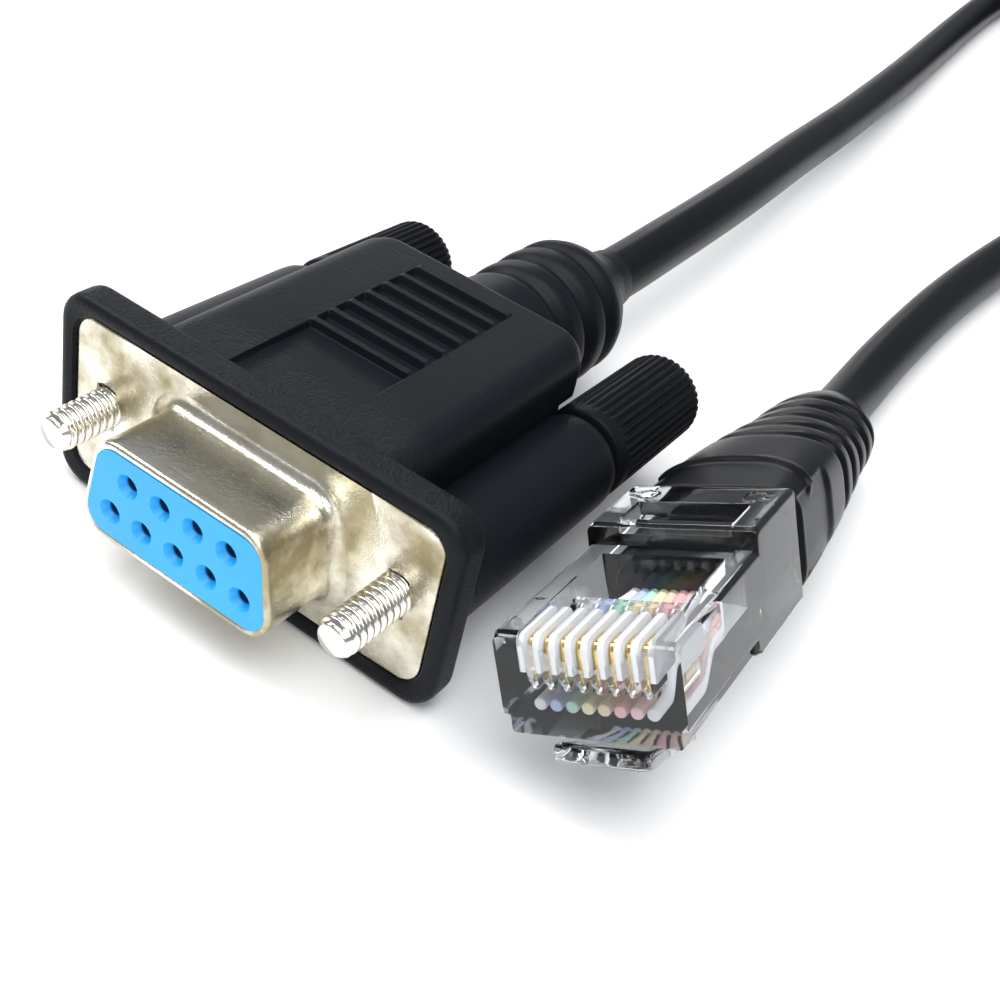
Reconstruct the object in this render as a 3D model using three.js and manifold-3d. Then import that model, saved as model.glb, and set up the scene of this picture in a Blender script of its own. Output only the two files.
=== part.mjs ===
// Console cable: a nine-way D connector with a moulded hood and two thumbscrews on one end, an eight-way
// modular plug with a moulded boot on the other, and one black cable between them, wound up in its middle.
// Millimetres, +Z up. The D connector faces -Y. The origin is on the floor, under the D connector's middle.
import * as THREE from 'three';
import { mergeVertices } from 'three/addons/utils/BufferGeometryUtils.js';
import Module from 'manifold-3d';

const wasm = await Module();
wasm.setup();

// Clearances between pieces
const seatGap = 0.3;
const fineGap = 0.1;
const slideGap = 0.06;

// Cable
const cableRadius = 2.4;
const cableSides = 10;

// Flange plate and shroud of the nine-way connector
const screwSpacing = 24.99;
const flangeEnd = 2.91;
const flangeWidth = screwSpacing + 2 * flangeEnd;
const flangeHeight = 12.55;
const flangeThickness = 0.8;
const flangeCorner = 1.6;
const screwHoleRadius = 1.75;
const contactPitch = 2.77;
const shroudEnd = 2.625;
const shroudWidth = 4 * contactPitch + 2 * shroudEnd;
const shroudHeight = 7.9;
const shroudDepth = 6.1;
const shroudCorner = 2.1;
const shroudWall = 0.5;
const shroudLean = THREE.MathUtils.degToRad(10);

// Blue insulator and the nine socket contacts in it
const rowSpacing = 2.84;
const insulatorBack = 2.6;
const funnelRadius = 0.88;
const funnelDepth = 0.5;
const socketMouthRadius = 0.56;
const socketMouthDepth = 1.5;
const contactRadius = 0.8;
const contactBore = 0.5;
const contactBoreDepth = 5.5;
const contactTail = 1.6;

// Moulded hood: rim, body, screw bosses, neck and strain relief
const rimBorder = 1.45;
const rimCorner = 2.3;
const rimProud = 0.3;
const rimBack = 2.2;
const bodyWidth = 20.8;
const bodyHeight = 14.8;
const bodyBack = 24.6;
const bodyEdge = 2.0;
const bodyRearCorner = 2.2;
const bossRadius = 3.85;
const bossTipRadius = 3.55;
const bossBack = 21.5;
const bossRound = 0.9;
const reliefRadius = 5.7;
const ringRadius = 5.9;
const ringPitch = 3.2;
const ringCount = 3;
const firstGroove = 30.6;
const grooveWidth = 0.9;
const grooveDepth = 0.75;
const reliefBack = 46.1;
const reliefEndRadius = cableRadius + 0.3;
const taperSteps = [[0.17, 0.94], [0.33, 0.7], [0.51, 0.4], [0.71, 0.14]];
const panelHalfWidth = 4.3;
const panelFront = 1.9;
const panelDepth = 0.45;
const ridgeCount = 7;
const ridgePitch = 1.95;
const ridgeWidth = 0.75;
const firstRidge = 10.4;

// Thumbscrews: threaded steel screw in a moulded head
const threadRadius = 1.42;
const threadRootRadius = 1.12;
const threadPitch = 0.635;
const threadLength = 8.2;
const screwChamfer = 0.35;
const rightScrewReach = 5.9;
const leftScrewReach = 4.7;
const screwLength = 37;
const headFrontRadius = 3.6;
const headBackRadius = 3.5;
const headLength = 13.0;
const headRound = 1.2;

// Eight-way modular plug, in its own frame: nose at y = 0, underside at z = 0, contacts on top
const plugWidth = 11.68;
const plugLength = 21.9;
const noseHeight = 6.5;
const blockHeight = 7.9;
const blockFront = 13.8;
const soleHeight = 1.1;
const soleInset = 0.45;
const wirePitch = 1.02;
const wireCount = 8;
const slotWidth = 0.56;
const slotLength = 4.2;
const slotFloor = 2.75;
const bladeThickness = 0.34;
const bladeTop = 6.0;
const bladeFront = 0.55;
const combHalfWidth = 4.15;
const combDrop = 0.2;
const pitHalfWidth = 4.3;
const frontPitFloor = 4.7;
const rearPitFront = 7.5;
const rearPitBack = 12.3;
const rearPitFloor = 3.6;
const windowFront = 15.0;
const windowBack = 18.4;
const windowHalfWidth = 3.9;
const windowFloor = 6.9;
const wireRadius = 0.44;
const wireHeight = 2.0;
const noseWall = 0.35;
const jacketFront = 10.8;
const jacketWidth = 7.4;
const jacketHeight = 4.2;
const jacketMiddle = 3.7;

// Latch under the plug, turning about its root at the nose
const latchRootY = 1.0;
const latchRootZ = -1.45;
const latchThickness = 1.2;
const latchTipThickness = 0.9;
const latchLength = 13.6;
const latchDroop = THREE.MathUtils.degToRad(14);
const latchShoulderWidth = 6.2;
const latchShoulderLength = 6.6;
const latchTabWidth = 3.3;

// Boot behind the plug
const bootBack = 50;
const bootWidth = 12.0;
const bootHeight = 8.2;
const bootGrooveCount = 5;
const bootGroovePitch = 3.2;
const bootFirstGroove = 31;
const bootGrooveDepth = 0.5;

// Place of the D connector: its flange's front centre
const rimHalfHeight = flangeHeight / 2 + rimBorder;
const flangeY = (shroudDepth - reliefBack) / 2;

// Place and turn of the plug, as it lies on its latch, its boot's lower edge and the cable
const plugAside = 11.185;
const plugPlace = new THREE.Vector3(flangeWidth / 2 + rimBorder + plugAside, -20.625, 7.34);
const plugAcross = new THREE.Vector3(0.8822, 0.1359, 0.4508);
const plugBackwards = new THREE.Vector3(-0.0798, 0.9867, -0.1414);

// Coil of the cable's middle, wound round on the floor, and its tie
const coilCentre = new THREE.Vector2(14, 215.5);
const coilRadius = 27;
const coilNarrowHalf = 3.7;
const coilEdgeHalf = 6.2;
const coilWideHalf = 7.3;
const coilHeight = 13.2;
const coilEdgeRise = 3.0;

// How far the corners of that bundle's outline move when all its sides move out by one millimetre
const narrowShift = 0.47;
const edgeShift = 0.9;
const riseShift = 0.48;
const wideShift = 1.05;
const tieThickness = 0.6;
const tieGap = 0.45;
const tieWidth = 4;

// Cable from the hood to the coil: points on its middle line
const hoodRun = [
  [0, 26.4, 7.7], [0, 31, 7.7], [-0.1, 36.5, 7.7], [-0.3, 44, 7.6], [-0.8, 54, 7.3], [-1.6, 63.5, 6.8],
  [-2.5, 73, 6.2], [-3.5, 84.5, 5.4], [-4.6, 96, 4.6], [-5.9, 108.5, 3.9], [-7.4, 122.5, 3.2], [-8.9, 136, 2.75],
  [-10.4, 151, 2.55], [-11.8, 166, 2.5], [-12.7, 178, 2.7], [-13.0, 192.9, 3.0],
];

// Cable from the plug's boot to the coil: points on its middle line
const plugRun = [
  [22.31, 29.34, 3.49], [21.98, 33.4, 2.93], [21.6, 38.5, 2.58], [21.3, 44, 2.5], [21.12, 52, 2.5],
  [21.15, 62.5, 2.5], [21.8, 75, 2.5], [23.2, 90, 2.5], [25.3, 106, 2.5], [28.0, 123, 2.5], [31.0, 140, 2.5],
  [34.2, 156, 2.5], [37.2, 170, 2.6], [39.6, 181, 2.8], [40.77, 192.55, 3.0],
];

const arcSteps = 5;
const turnSides = 28;
const smallSides = 16;

// Closed geometry as a solid that can be joined and cut
function solid(geometry) {
  const bare = geometry.index ? geometry.toNonIndexed() : geometry.clone();
  bare.deleteAttribute('normal');
  bare.deleteAttribute('uv');
  const merged = mergeVertices(bare, 1e-5);
  return new wasm.Manifold(new wasm.Mesh({
    numProp: 3,
    vertProperties: new Float32Array(merged.attributes.position.array),
    triVerts: new Uint32Array(merged.index.array),
  }));
}

function geometryOf(shape) {
  const result = shape.getMesh();
  const geometry = new THREE.BufferGeometry();
  geometry.setAttribute('position', new THREE.BufferAttribute(new Float32Array(result.vertProperties), 3));
  geometry.setIndex(new THREE.BufferAttribute(new Uint32Array(result.triVerts), 1));
  geometry.computeVertexNormals();
  return geometry;
}

function join(solids) {
  return solids.reduce((whole, next) => whole.add(next));
}

function cutAll(whole, tools) {
  return tools.reduce((rest, tool) => rest.subtract(tool), whole);
}

// Polygon with its corners rounded: each corner is [x, y, radius], in counter-clockwise order
function roundedOutline(corners, steps = arcSteps) {
  const points = [];
  corners.forEach(([x, y, radius], i) => {
    const before = corners[(i + corners.length - 1) % corners.length];
    const after = corners[(i + 1) % corners.length];
    const corner = new THREE.Vector2(x, y);
    if (radius <= 0) {
      points.push(corner);
      return;
    }
    const back = new THREE.Vector2(before[0] - x, before[1] - y).normalize();
    const ahead = new THREE.Vector2(after[0] - x, after[1] - y).normalize();
    const halfAngle = Math.acos(THREE.MathUtils.clamp(back.dot(ahead), -1, 1)) / 2;
    const middle = back.clone().add(ahead).normalize();
    const centre = corner.clone().addScaledVector(middle, radius / Math.sin(halfAngle));
    const reach = radius / Math.tan(halfAngle);
    const first = corner.clone().addScaledVector(back, reach).sub(centre);
    const last = corner.clone().addScaledVector(ahead, reach).sub(centre);
    const start = first.angle();
    let sweep = last.angle() - start;
    if (sweep < -Math.PI) sweep += 2 * Math.PI;
    if (sweep > Math.PI) sweep -= 2 * Math.PI;
    for (let k = 0; k <= steps; k += 1) {
      const angle = start + (sweep * k) / steps;
      points.push(new THREE.Vector2(centre.x + radius * Math.cos(angle), centre.y + radius * Math.sin(angle)));
    }
  });
  return new THREE.Shape(points);
}

function roundedRectangle(width, height, radius, centreX = 0, centreY = 0) {
  const x = width / 2;
  const y = height / 2;
  return roundedOutline([
    [centreX - x, centreY - y, radius], [centreX + x, centreY - y, radius],
    [centreX + x, centreY + y, radius], [centreX - x, centreY + y, radius],
  ]);
}

// Prisms: an outline in the plane across an axis, carried along that axis from one place to another
function prismAlongY(shape, fromY, toY) {
  const geometry = new THREE.ExtrudeGeometry(shape, { depth: toY - fromY, bevelEnabled: false, curveSegments: 1 });
  geometry.rotateX(Math.PI / 2);
  geometry.translate(0, toY, 0);
  return geometry;
}

function prismAlongZ(shape, fromZ, toZ) {
  const geometry = new THREE.ExtrudeGeometry(shape, { depth: toZ - fromZ, bevelEnabled: false, curveSegments: 1 });
  geometry.translate(0, 0, fromZ);
  return geometry;
}

function prismAlongX(shape, fromX, toX) {
  const geometry = new THREE.ExtrudeGeometry(shape, { depth: toX - fromX, bevelEnabled: false, curveSegments: 1 });
  const axes = new THREE.Matrix4().makeBasis(
    new THREE.Vector3(0, 1, 0), new THREE.Vector3(0, 0, 1), new THREE.Vector3(1, 0, 0),
  );
  geometry.applyMatrix4(axes);
  geometry.translate(fromX, 0, 0);
  return geometry;
}

function block(x0, x1, y0, y1, z0, z1) {
  const geometry = new THREE.BoxGeometry(x1 - x0, y1 - y0, z1 - z0);
  geometry.translate((x0 + x1) / 2, (y0 + y1) / 2, (z0 + z1) / 2);
  return geometry;
}

// Turned shape about the Y axis: the profile is [radius, y] pairs in rising y, closed on the axis
function turnedAlongY(profile, sides) {
  return new THREE.LatheGeometry(profile.map(([radius, y]) => new THREE.Vector2(radius, y)), sides);
}

function rodAlongY(radius, fromY, toY, sides = smallSides) {
  return turnedAlongY([[0, fromY], [radius, fromY], [radius, toY], [0, toY]], sides);
}

// D-shaped outline, narrow side up, with the sides leaning in
function dOutline(inset) {
  const halfWidth = shroudWidth / 2 - inset;
  const halfHeight = shroudHeight / 2 - inset;
  const lean = (halfHeight - (shroudCorner - inset)) * 2 * Math.tan(shroudLean);
  const corner = Math.max(shroudCorner - inset, 0.3);
  const foot = corner * (1 / Math.cos(shroudLean) - 1);
  const slope = Math.tan(shroudLean) * corner;
  return roundedOutline([
    [-halfWidth - slope + foot, -halfHeight, corner], [halfWidth + slope - foot, -halfHeight, corner],
    [halfWidth - lean - slope + foot, halfHeight, corner], [-halfWidth + lean + slope - foot, halfHeight, corner],
  ]);
}

function shellSolid() {
  const plate = solid(prismAlongY(roundedRectangle(flangeWidth, flangeHeight, flangeCorner), 0, flangeThickness));
  const sleeve = solid(prismAlongY(dOutline(0), -shroudDepth, flangeThickness));
  const inside = solid(prismAlongY(dOutline(shroudWall), -shroudDepth - 1, flangeThickness + 1));
  const holes = [-1, 1].map((side) => {
    const hole = rodAlongY(screwHoleRadius, -1, flangeThickness + 1, turnSides);
    hole.translate((side * screwSpacing) / 2, 0, 0);
    return solid(hole);
  });
  return cutAll(plate.add(sleeve), [inside, ...holes]);
}

// Places of the nine contacts: four above, five below
function contactPlaces() {
  const places = [];
  for (let i = 0; i < 4; i += 1) places.push([(i - 1.5) * contactPitch, rowSpacing / 2]);
  for (let i = 0; i < 5; i += 1) places.push([(i - 2) * contactPitch, -rowSpacing / 2]);
  return places;
}

function insulatorSolid() {
  const front = -shroudDepth;
  const body = solid(prismAlongY(dOutline(shroudWall + slideGap), front, insulatorBack));
  const barrelRadius = contactRadius + slideGap;
  const mouthBack = front + funnelDepth + socketMouthDepth;
  const holes = contactPlaces().map(([x, z]) => {
    const hole = turnedAlongY([
      [0, front - 0.2], [funnelRadius + 0.1, front - 0.2], [funnelRadius, front],
      [socketMouthRadius, front + funnelDepth], [socketMouthRadius, mouthBack],
      [barrelRadius, mouthBack], [barrelRadius, insulatorBack + 1], [0, insulatorBack + 1],
    ], smallSides);
    hole.translate(x, 0, z);
    return solid(hole);
  });
  return cutAll(body, holes);
}

function contactGeometry() {
  const front = -shroudDepth + funnelDepth + socketMouthDepth + slideGap;
  const back = insulatorBack + contactTail;
  return turnedAlongY([
    [0, front + contactBoreDepth], [contactBore, front + contactBoreDepth], [contactBore, front],
    [contactRadius, front], [contactRadius, back], [0, back],
  ], 12);
}

// Strain relief and neck behind the hood's body: rings between grooves, then a dome down to the cable
function reliefProfile() {
  const profile = [[0, bodyBack - 3], [reliefRadius - 0.3, bodyBack - 3], [reliefRadius, firstGroove - grooveWidth / 2]];
  for (let i = 0; i < ringCount; i += 1) {
    const y = firstGroove + i * ringPitch;
    profile.push([ringRadius - grooveDepth, y], [ringRadius, y + grooveWidth / 2]);
    if (i < ringCount - 1) profile.push([ringRadius, y + ringPitch - grooveWidth / 2]);
  }
  const domeFront = firstGroove + (ringCount - 1) * ringPitch + grooveWidth / 2;
  taperSteps.forEach(([along, share]) => {
    const radius = THREE.MathUtils.lerp(reliefEndRadius, ringRadius, share);
    profile.push([radius, THREE.MathUtils.lerp(domeFront, reliefBack, along)]);
  });
  profile.push([reliefEndRadius, reliefBack]);
  profile.push([0, reliefBack]);
  return profile;
}

function hoodBodySolid() {
  const across = solid(prismAlongY(roundedRectangle(bodyWidth, bodyHeight, bodyEdge), 1, bodyBack));
  const half = bodyWidth / 2;
  const plan = roundedOutline([
    [-half - 1, 0, 0], [half + 1, 0, 0], [half + 1, rimBack, 0], [half - 0.35, bodyBack, bodyRearCorner],
    [-half + 0.35, bodyBack, bodyRearCorner], [-half - 1, rimBack, 0],
  ]);
  const rise = bodyHeight / 2;
  const side = roundedOutline([
    [0, -rise - 1, 0], [bodyBack - 3, -rise - 1, 0], [bodyBack, -rise, 1.2], [bodyBack, rise, 1.2],
    [bodyBack - 3, rise + 1, 0], [0, rise + 1, 0],
  ]);
  return across
    .intersect(solid(prismAlongZ(plan, -rise - 1, rise + 1)))
    .intersect(solid(prismAlongX(side, -half - 1, half + 1)));
}

function bossSolid(side) {
  const geometry = turnedAlongY([
    [0, 1], [bossRadius, 1], [bossTipRadius, bossBack - bossRound],
    [bossTipRadius - bossRound * 0.35, bossBack - bossRound * 0.3], [bossTipRadius - bossRound, bossBack],
    [0, bossBack],
  ], turnSides);
  geometry.translate((side * screwSpacing) / 2, 0, 0);
  return solid(geometry);
}

// Shallow panel with a row of grip ridges in the hood's flat face; up is 1 above and -1 below
function panelCuts(up) {
  const face = (bodyHeight / 2) * up;
  const floor = face - panelDepth * up;
  const over = face + up;
  const low = Math.min(floor, over);
  const high = Math.max(floor, over);
  const cuts = [block(-panelHalfWidth, panelHalfWidth, panelFront, firstRidge - ridgeWidth / 2, low, high)];
  for (let i = 0; i < ridgeCount - 1; i += 1) {
    const y = firstRidge + i * ridgePitch;
    cuts.push(block(-panelHalfWidth, panelHalfWidth, y + ridgeWidth / 2, y + ridgePitch - ridgeWidth / 2, low, high));
  }
  return cuts.map(solid);
}

function hoodSolid() {
  const rimWidth = flangeWidth + 2 * rimBorder;
  const rim = solid(prismAlongY(roundedRectangle(rimWidth, 2 * rimHalfHeight, rimCorner), -rimProud, rimBack));
  const relief = solid(turnedAlongY(reliefProfile(), turnSides));
  const whole = join([rim, hoodBodySolid(), bossSolid(-1), bossSolid(1), relief]);
  const plateSeat = roundedRectangle(flangeWidth + 2 * fineGap, flangeHeight + 2 * fineGap, flangeCorner + fineGap);
  const seat = solid(prismAlongY(plateSeat, -rimProud - 1, flangeThickness + fineGap));
  const pocketBack = insulatorBack + contactTail + seatGap;
  const pocket = solid(prismAlongY(dOutline(0), 0, pocketBack));
  const bores = [-1, 1].map((side) => {
    const bore = rodAlongY(screwHoleRadius, -rimProud - 1, bossBack + 1, turnSides);
    bore.translate((side * screwSpacing) / 2, 0, 0);
    return solid(bore);
  });
  const scoops = [-1, 1].map((side) => {
    const scoop = rodAlongY(headFrontRadius + seatGap, bossBack, bodyBack + 1, turnSides);
    scoop.translate((side * screwSpacing) / 2, 0, 0);
    return solid(scoop);
  });
  return cutAll(whole, [seat, pocket, ...bores, ...scoops, ...panelCuts(1), ...panelCuts(-1)]);
}

// Steel screw: chamfered tip, V threads as rings, plain shank behind; the tip is at y = -reach
function screwGeometry(reach) {
  const tip = -reach;
  const profile = [[0, tip], [threadRootRadius, tip], [threadRootRadius + 0.05, tip + screwChamfer]];
  const turns = Math.floor((threadLength - screwChamfer) / threadPitch);
  for (let i = 0; i < turns; i += 1) {
    const y = tip + screwChamfer + i * threadPitch;
    profile.push([threadRadius, y + threadPitch * 0.4], [threadRadius, y + threadPitch * 0.6]);
    profile.push([threadRootRadius, y + threadPitch]);
  }
  profile.push([threadRootRadius, tip + screwLength], [0, tip + screwLength]);
  return turnedAlongY(profile, 12);
}

// Moulded head of the thumbscrew, rounded at its rear edge, bored for the screw's shank
function headGeometry(reach) {
  const front = bossBack + seatGap + rightScrewReach - reach;
  const back = front + headLength;
  const bore = threadRootRadius + fineGap;
  const boreBack = -reach + screwLength + fineGap;
  const profile = [[0, boreBack], [bore, boreBack], [bore, front], [headFrontRadius - 0.25, front]];
  profile.push([headFrontRadius, front + 0.25]);
  const steps = 4;
  for (let k = 0; k <= steps; k += 1) {
    const angle = (k / steps) * (Math.PI / 2);
    const radius = headBackRadius - headRound * (1 - Math.cos(angle));
    profile.push([radius, back - headRound * (1 - Math.sin(angle))]);
  }
  profile.push([0, back]);
  return turnedAlongY(profile, turnSides);
}

// Plug housing, clear: nose with eight slots, two pits behind them, raised rear block with its window
function plugHousingSolid() {
  const half = plugWidth / 2;
  const side = new THREE.Shape([
    new THREE.Vector2(0.15, soleHeight), new THREE.Vector2(plugLength, soleHeight),
    new THREE.Vector2(plugLength, blockHeight - 0.3), new THREE.Vector2(plugLength - 0.3, blockHeight),
    new THREE.Vector2(blockFront + 0.2, blockHeight), new THREE.Vector2(blockFront, blockHeight - 0.2),
    new THREE.Vector2(blockFront, noseHeight), new THREE.Vector2(0.35, noseHeight),
    new THREE.Vector2(0, noseHeight - 0.35), new THREE.Vector2(0, soleHeight + 0.15),
  ]);
  const body = solid(prismAlongX(side, -half, half));
  const sole = solid(block(-half + soleInset, half - soleInset, soleInset, plugLength, 0, soleHeight + 0.5));
  const heel = solid(block(-half, half, blockFront - 1.5, plugLength, 0, soleHeight + 0.5));
  const rootHalf = latchShoulderWidth / 2;
  const rootFoot = latchRootZ + latchThickness / 2 + seatGap;
  const root = solid(block(-rootHalf, rootHalf, soleInset, latchRootY + 0.8, rootFoot, 0.3));
  const topAbove = blockHeight + 1;
  const tools = [];
  tools.push(solid(block(-combHalfWidth, combHalfWidth, -1, slotLength + 0.1, noseHeight - combDrop, topAbove)));
  for (let i = 0; i < wireCount; i += 1) {
    const x = (i - (wireCount - 1) / 2) * wirePitch;
    tools.push(solid(block(x - slotWidth / 2, x + slotWidth / 2, -1, slotLength + 0.1, slotFloor, topAbove)));
  }
  tools.push(solid(block(-pitHalfWidth, pitHalfWidth, slotLength, rearPitFront + 0.1, frontPitFloor, topAbove)));
  tools.push(solid(block(-pitHalfWidth, pitHalfWidth, rearPitFront, rearPitBack, rearPitFloor, topAbove)));
  tools.push(solid(block(-windowHalfWidth, windowHalfWidth, windowFront, windowBack, windowFloor, topAbove)));
  const channelHalf = ((wireCount - 1) / 2) * wirePitch + wireRadius + fineGap;
  const channelFoot = wireHeight - wireRadius - fineGap;
  const channelTop = wireHeight + wireRadius + fineGap;
  tools.push(solid(block(-channelHalf, channelHalf, noseWall, jacketFront + 0.1, channelFoot, channelTop)));
  const mouthFoot = jacketMiddle - jacketHeight / 2 - fineGap;
  const mouthTop = jacketMiddle + jacketHeight / 2 + fineGap;
  const mouthHalf = jacketWidth / 2 + fineGap;
  const mouthFront = Math.max(jacketFront, rearPitBack + 0.5);
  tools.push(solid(block(-mouthHalf, mouthHalf, mouthFront, plugLength + 1, mouthFoot, mouthTop)));
  tools.push(solid(block(-channelHalf, channelHalf, jacketFront, mouthFront + 0.1, channelFoot, channelTop)));
  return cutAll(join([body, sole, heel, root]), tools);
}

// Gold contact blade, standing on edge in its slot, with a rounded front shoulder
function bladeGeometry(x) {
  const back = slotLength - 0.5;
  const foot = slotFloor + fineGap;
  const shape = roundedOutline([
    [bladeFront, foot, 0], [back, foot, 0], [back, bladeTop - 0.9, 0.3], [bladeFront + 1.6, bladeTop, 0.4],
    [bladeFront, bladeTop, 0.5],
  ], 3);
  return prismAlongX(shape, x - bladeThickness / 2, x + bladeThickness / 2);
}

function wireGeometry(x) {
  const back = Math.max(jacketFront, rearPitBack + 0.5) - fineGap;
  const geometry = rodAlongY(wireRadius, noseWall + fineGap, back, 10);
  geometry.translate(x, 0, wireHeight);
  return geometry;
}

// End of the cable's jacket, flattened where the plug clamps it
function jacketEndGeometry() {
  const front = Math.max(jacketFront, rearPitBack + 0.5) + fineGap;
  const outline = roundedRectangle(jacketWidth, jacketHeight, 1.6, 0, jacketMiddle);
  return prismAlongY(outline, front, plugLength);
}

// Latch: a lever from a round root at the nose, with locking shoulders and a narrow thumb tab
function latchSolid() {
  const half = latchThickness / 2;
  const tipHalf = latchTipThickness / 2;
  const profile = [];
  const steps = 6;
  for (let k = 0; k <= steps; k += 1) {
    const angle = Math.PI / 2 + (k / steps) * Math.PI;
    profile.push(new THREE.Vector2(half * Math.cos(angle), half * Math.sin(angle)));
  }
  profile.push(new THREE.Vector2(latchLength, -tipHalf), new THREE.Vector2(latchLength, tipHalf));
  const lever = solid(prismAlongX(new THREE.Shape(profile), -latchShoulderWidth / 2, latchShoulderWidth / 2));
  const shoulder = latchShoulderWidth / 2;
  const tab = latchTabWidth / 2;
  const plan = new THREE.Shape([
    new THREE.Vector2(-shoulder, -half - 1), new THREE.Vector2(shoulder, -half - 1),
    new THREE.Vector2(shoulder, latchShoulderLength), new THREE.Vector2(tab, latchShoulderLength),
    new THREE.Vector2(tab, latchLength + 1), new THREE.Vector2(-tab, latchLength + 1),
    new THREE.Vector2(-tab, latchShoulderLength), new THREE.Vector2(-shoulder, latchShoulderLength),
  ]);
  return lever.intersect(solid(prismAlongZ(plan, -latchThickness, latchThickness)));
}

// Boot: rounded-rectangle sections carried back and narrowing, with grooves round its rear
function bootHalfSizes(y) {
  const front = plugLength + seatGap;
  const t = THREE.MathUtils.clamp((y - front) / (bootBack - front), 0, 1);
  const endRadius = cableRadius + 0.45;
  const narrowing = t ** 1.9 * 0.42 + Math.max(0, (t - 0.8) / 0.2) ** 2.2 * 0.58;
  const halfX = THREE.MathUtils.lerp(bootWidth / 2, endRadius, narrowing);
  const halfZ = THREE.MathUtils.lerp(bootHeight / 2, endRadius, narrowing);
  const squareness = THREE.MathUtils.lerp(5, 2, Math.min(1, t * 1.5));
  return { halfX, halfZ, squareness };
}

function bootGeometry() {
  const front = plugLength + seatGap;
  const stations = [front, front + 0.4, front + 3, bootFirstGroove - 2.2];
  for (let i = 0; i < bootGrooveCount; i += 1) {
    const y = bootFirstGroove + i * bootGroovePitch;
    stations.push(y - 0.5, y, y + 0.5);
  }
  stations.push(bootBack - 4, bootBack - 2.8, bootBack - 1.6, bootBack - 0.6, bootBack);
  const sides = 28;
  const positions = [];
  stations.forEach((y) => {
    const { halfX, halfZ, squareness } = bootHalfSizes(y);
    const grooveIndex = Math.round((y - bootFirstGroove) / bootGroovePitch);
    const atGroove = Math.abs(y - bootFirstGroove - grooveIndex * bootGroovePitch) < 0.01;
    const isGroove = atGroove && grooveIndex >= 0 && grooveIndex < bootGrooveCount;
    const inset = (isGroove ? bootGrooveDepth : 0) + (y === front ? 0.3 : 0);
    for (let k = 0; k < sides; k += 1) {
      const angle = ((k + 0.5) / sides) * 2 * Math.PI;
      const c = Math.cos(angle);
      const s = Math.sin(angle);
      const x = Math.sign(c) * Math.abs(c) ** (2 / squareness) * (halfX - inset);
      const z = Math.sign(s) * Math.abs(s) ** (2 / squareness) * (halfZ - inset);
      positions.push(x, y, jacketMiddle + z);
    }
  });
  const frontPole = positions.length / 3;
  positions.push(0, stations[0], jacketMiddle);
  positions.push(0, stations[stations.length - 1], jacketMiddle);
  const index = [];
  for (let i = 0; i < stations.length - 1; i += 1) {
    for (let k = 0; k < sides; k += 1) {
      const a = i * sides + k;
      const b = i * sides + ((k + 1) % sides);
      index.push(a, a + sides, b, b, a + sides, b + sides);
    }
  }
  const last = (stations.length - 1) * sides;
  for (let k = 0; k < sides; k += 1) {
    const next = (k + 1) % sides;
    index.push(frontPole, k, next);
    index.push(frontPole + 1, last + next, last + k);
  }
  const geometry = new THREE.BufferGeometry();
  geometry.setAttribute('position', new THREE.Float32BufferAttribute(positions, 3));
  geometry.setIndex(index);
  geometry.computeVertexNormals();
  return geometry;
}

function runGeometry(points, steps) {
  const path = new THREE.CatmullRomCurve3(points.map((p) => new THREE.Vector3(...p)), false, 'centripetal');
  const section = new THREE.Shape();
  for (let k = 0; k < cableSides; k += 1) {
    const angle = (k / cableSides) * 2 * Math.PI;
    const x = cableRadius * Math.cos(angle);
    const y = cableRadius * Math.sin(angle);
    if (k === 0) section.moveTo(x, y);
    else section.lineTo(x, y);
  }
  section.closePath();
  return new THREE.ExtrudeGeometry(section, { steps, extrudePath: path, bevelEnabled: false, curveSegments: 1 });
}

// Outline of the coil's bundle of turns, from its middle outwards and up from the floor
function bundleOutline(grow) {
  const low = tieThickness + tieGap;
  const high = low + coilHeight;
  const narrow = coilNarrowHalf + grow * narrowShift;
  const edge = coilEdgeHalf + grow * edgeShift;
  const rise = coilEdgeRise - grow * riseShift;
  const right = [
    [narrow, low - grow], [edge, low + rise], [coilWideHalf + grow * wideShift, (low + high) / 2],
    [edge, high - rise], [narrow, high + grow],
  ];
  const left = right.map(([r, z]) => [-r, z]).reverse();
  return [...right, ...left];
}

function coilGeometry() {
  const outline = bundleOutline(0).map(([r, z]) => new THREE.Vector2(coilRadius + r, z));
  outline.push(outline[0].clone());
  const geometry = new THREE.LatheGeometry(outline, 36);
  geometry.rotateX(Math.PI / 2);
  geometry.translate(coilCentre.x, coilCentre.y, 0);
  return geometry;
}

// Flat tie round the bundle on the coil's far side
function tieGeometry() {
  const middle = coilCentre.y + coilRadius;
  const outer = bundleOutline(tieGap + tieThickness).map(([r, z]) => new THREE.Vector2(middle + r, z));
  const inner = bundleOutline(tieGap).map(([r, z]) => new THREE.Vector2(middle + r, z));
  const shape = new THREE.Shape(outer);
  shape.holes.push(new THREE.Path(inner));
  return prismAlongX(shape, coilCentre.x - tieWidth / 2, coilCentre.x + tieWidth / 2);
}

function material(color, roughness, metalness, opacity = 1) {
  return new THREE.MeshStandardMaterial({ color, roughness, metalness, opacity, transparent: opacity < 1 });
}

function addPiece(parent, name, geometry, finish) {
  const mesh = new THREE.Mesh(geometry, finish);
  mesh.name = name;
  parent.add(mesh);
}

// A lathe profile that runs down the axis side makes its faces point inwards, so the order is turned round
function facingOut(geometry) {
  const shape = solid(geometry);
  if (shape.volume() > 0) return geometry;
  const flipped = geometry.clone();
  const order = flipped.index.array;
  for (let i = 0; i < order.length; i += 3) {
    const keep = order[i];
    order[i] = order[i + 1];
    order[i + 1] = keep;
  }
  return flipped;
}

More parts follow.
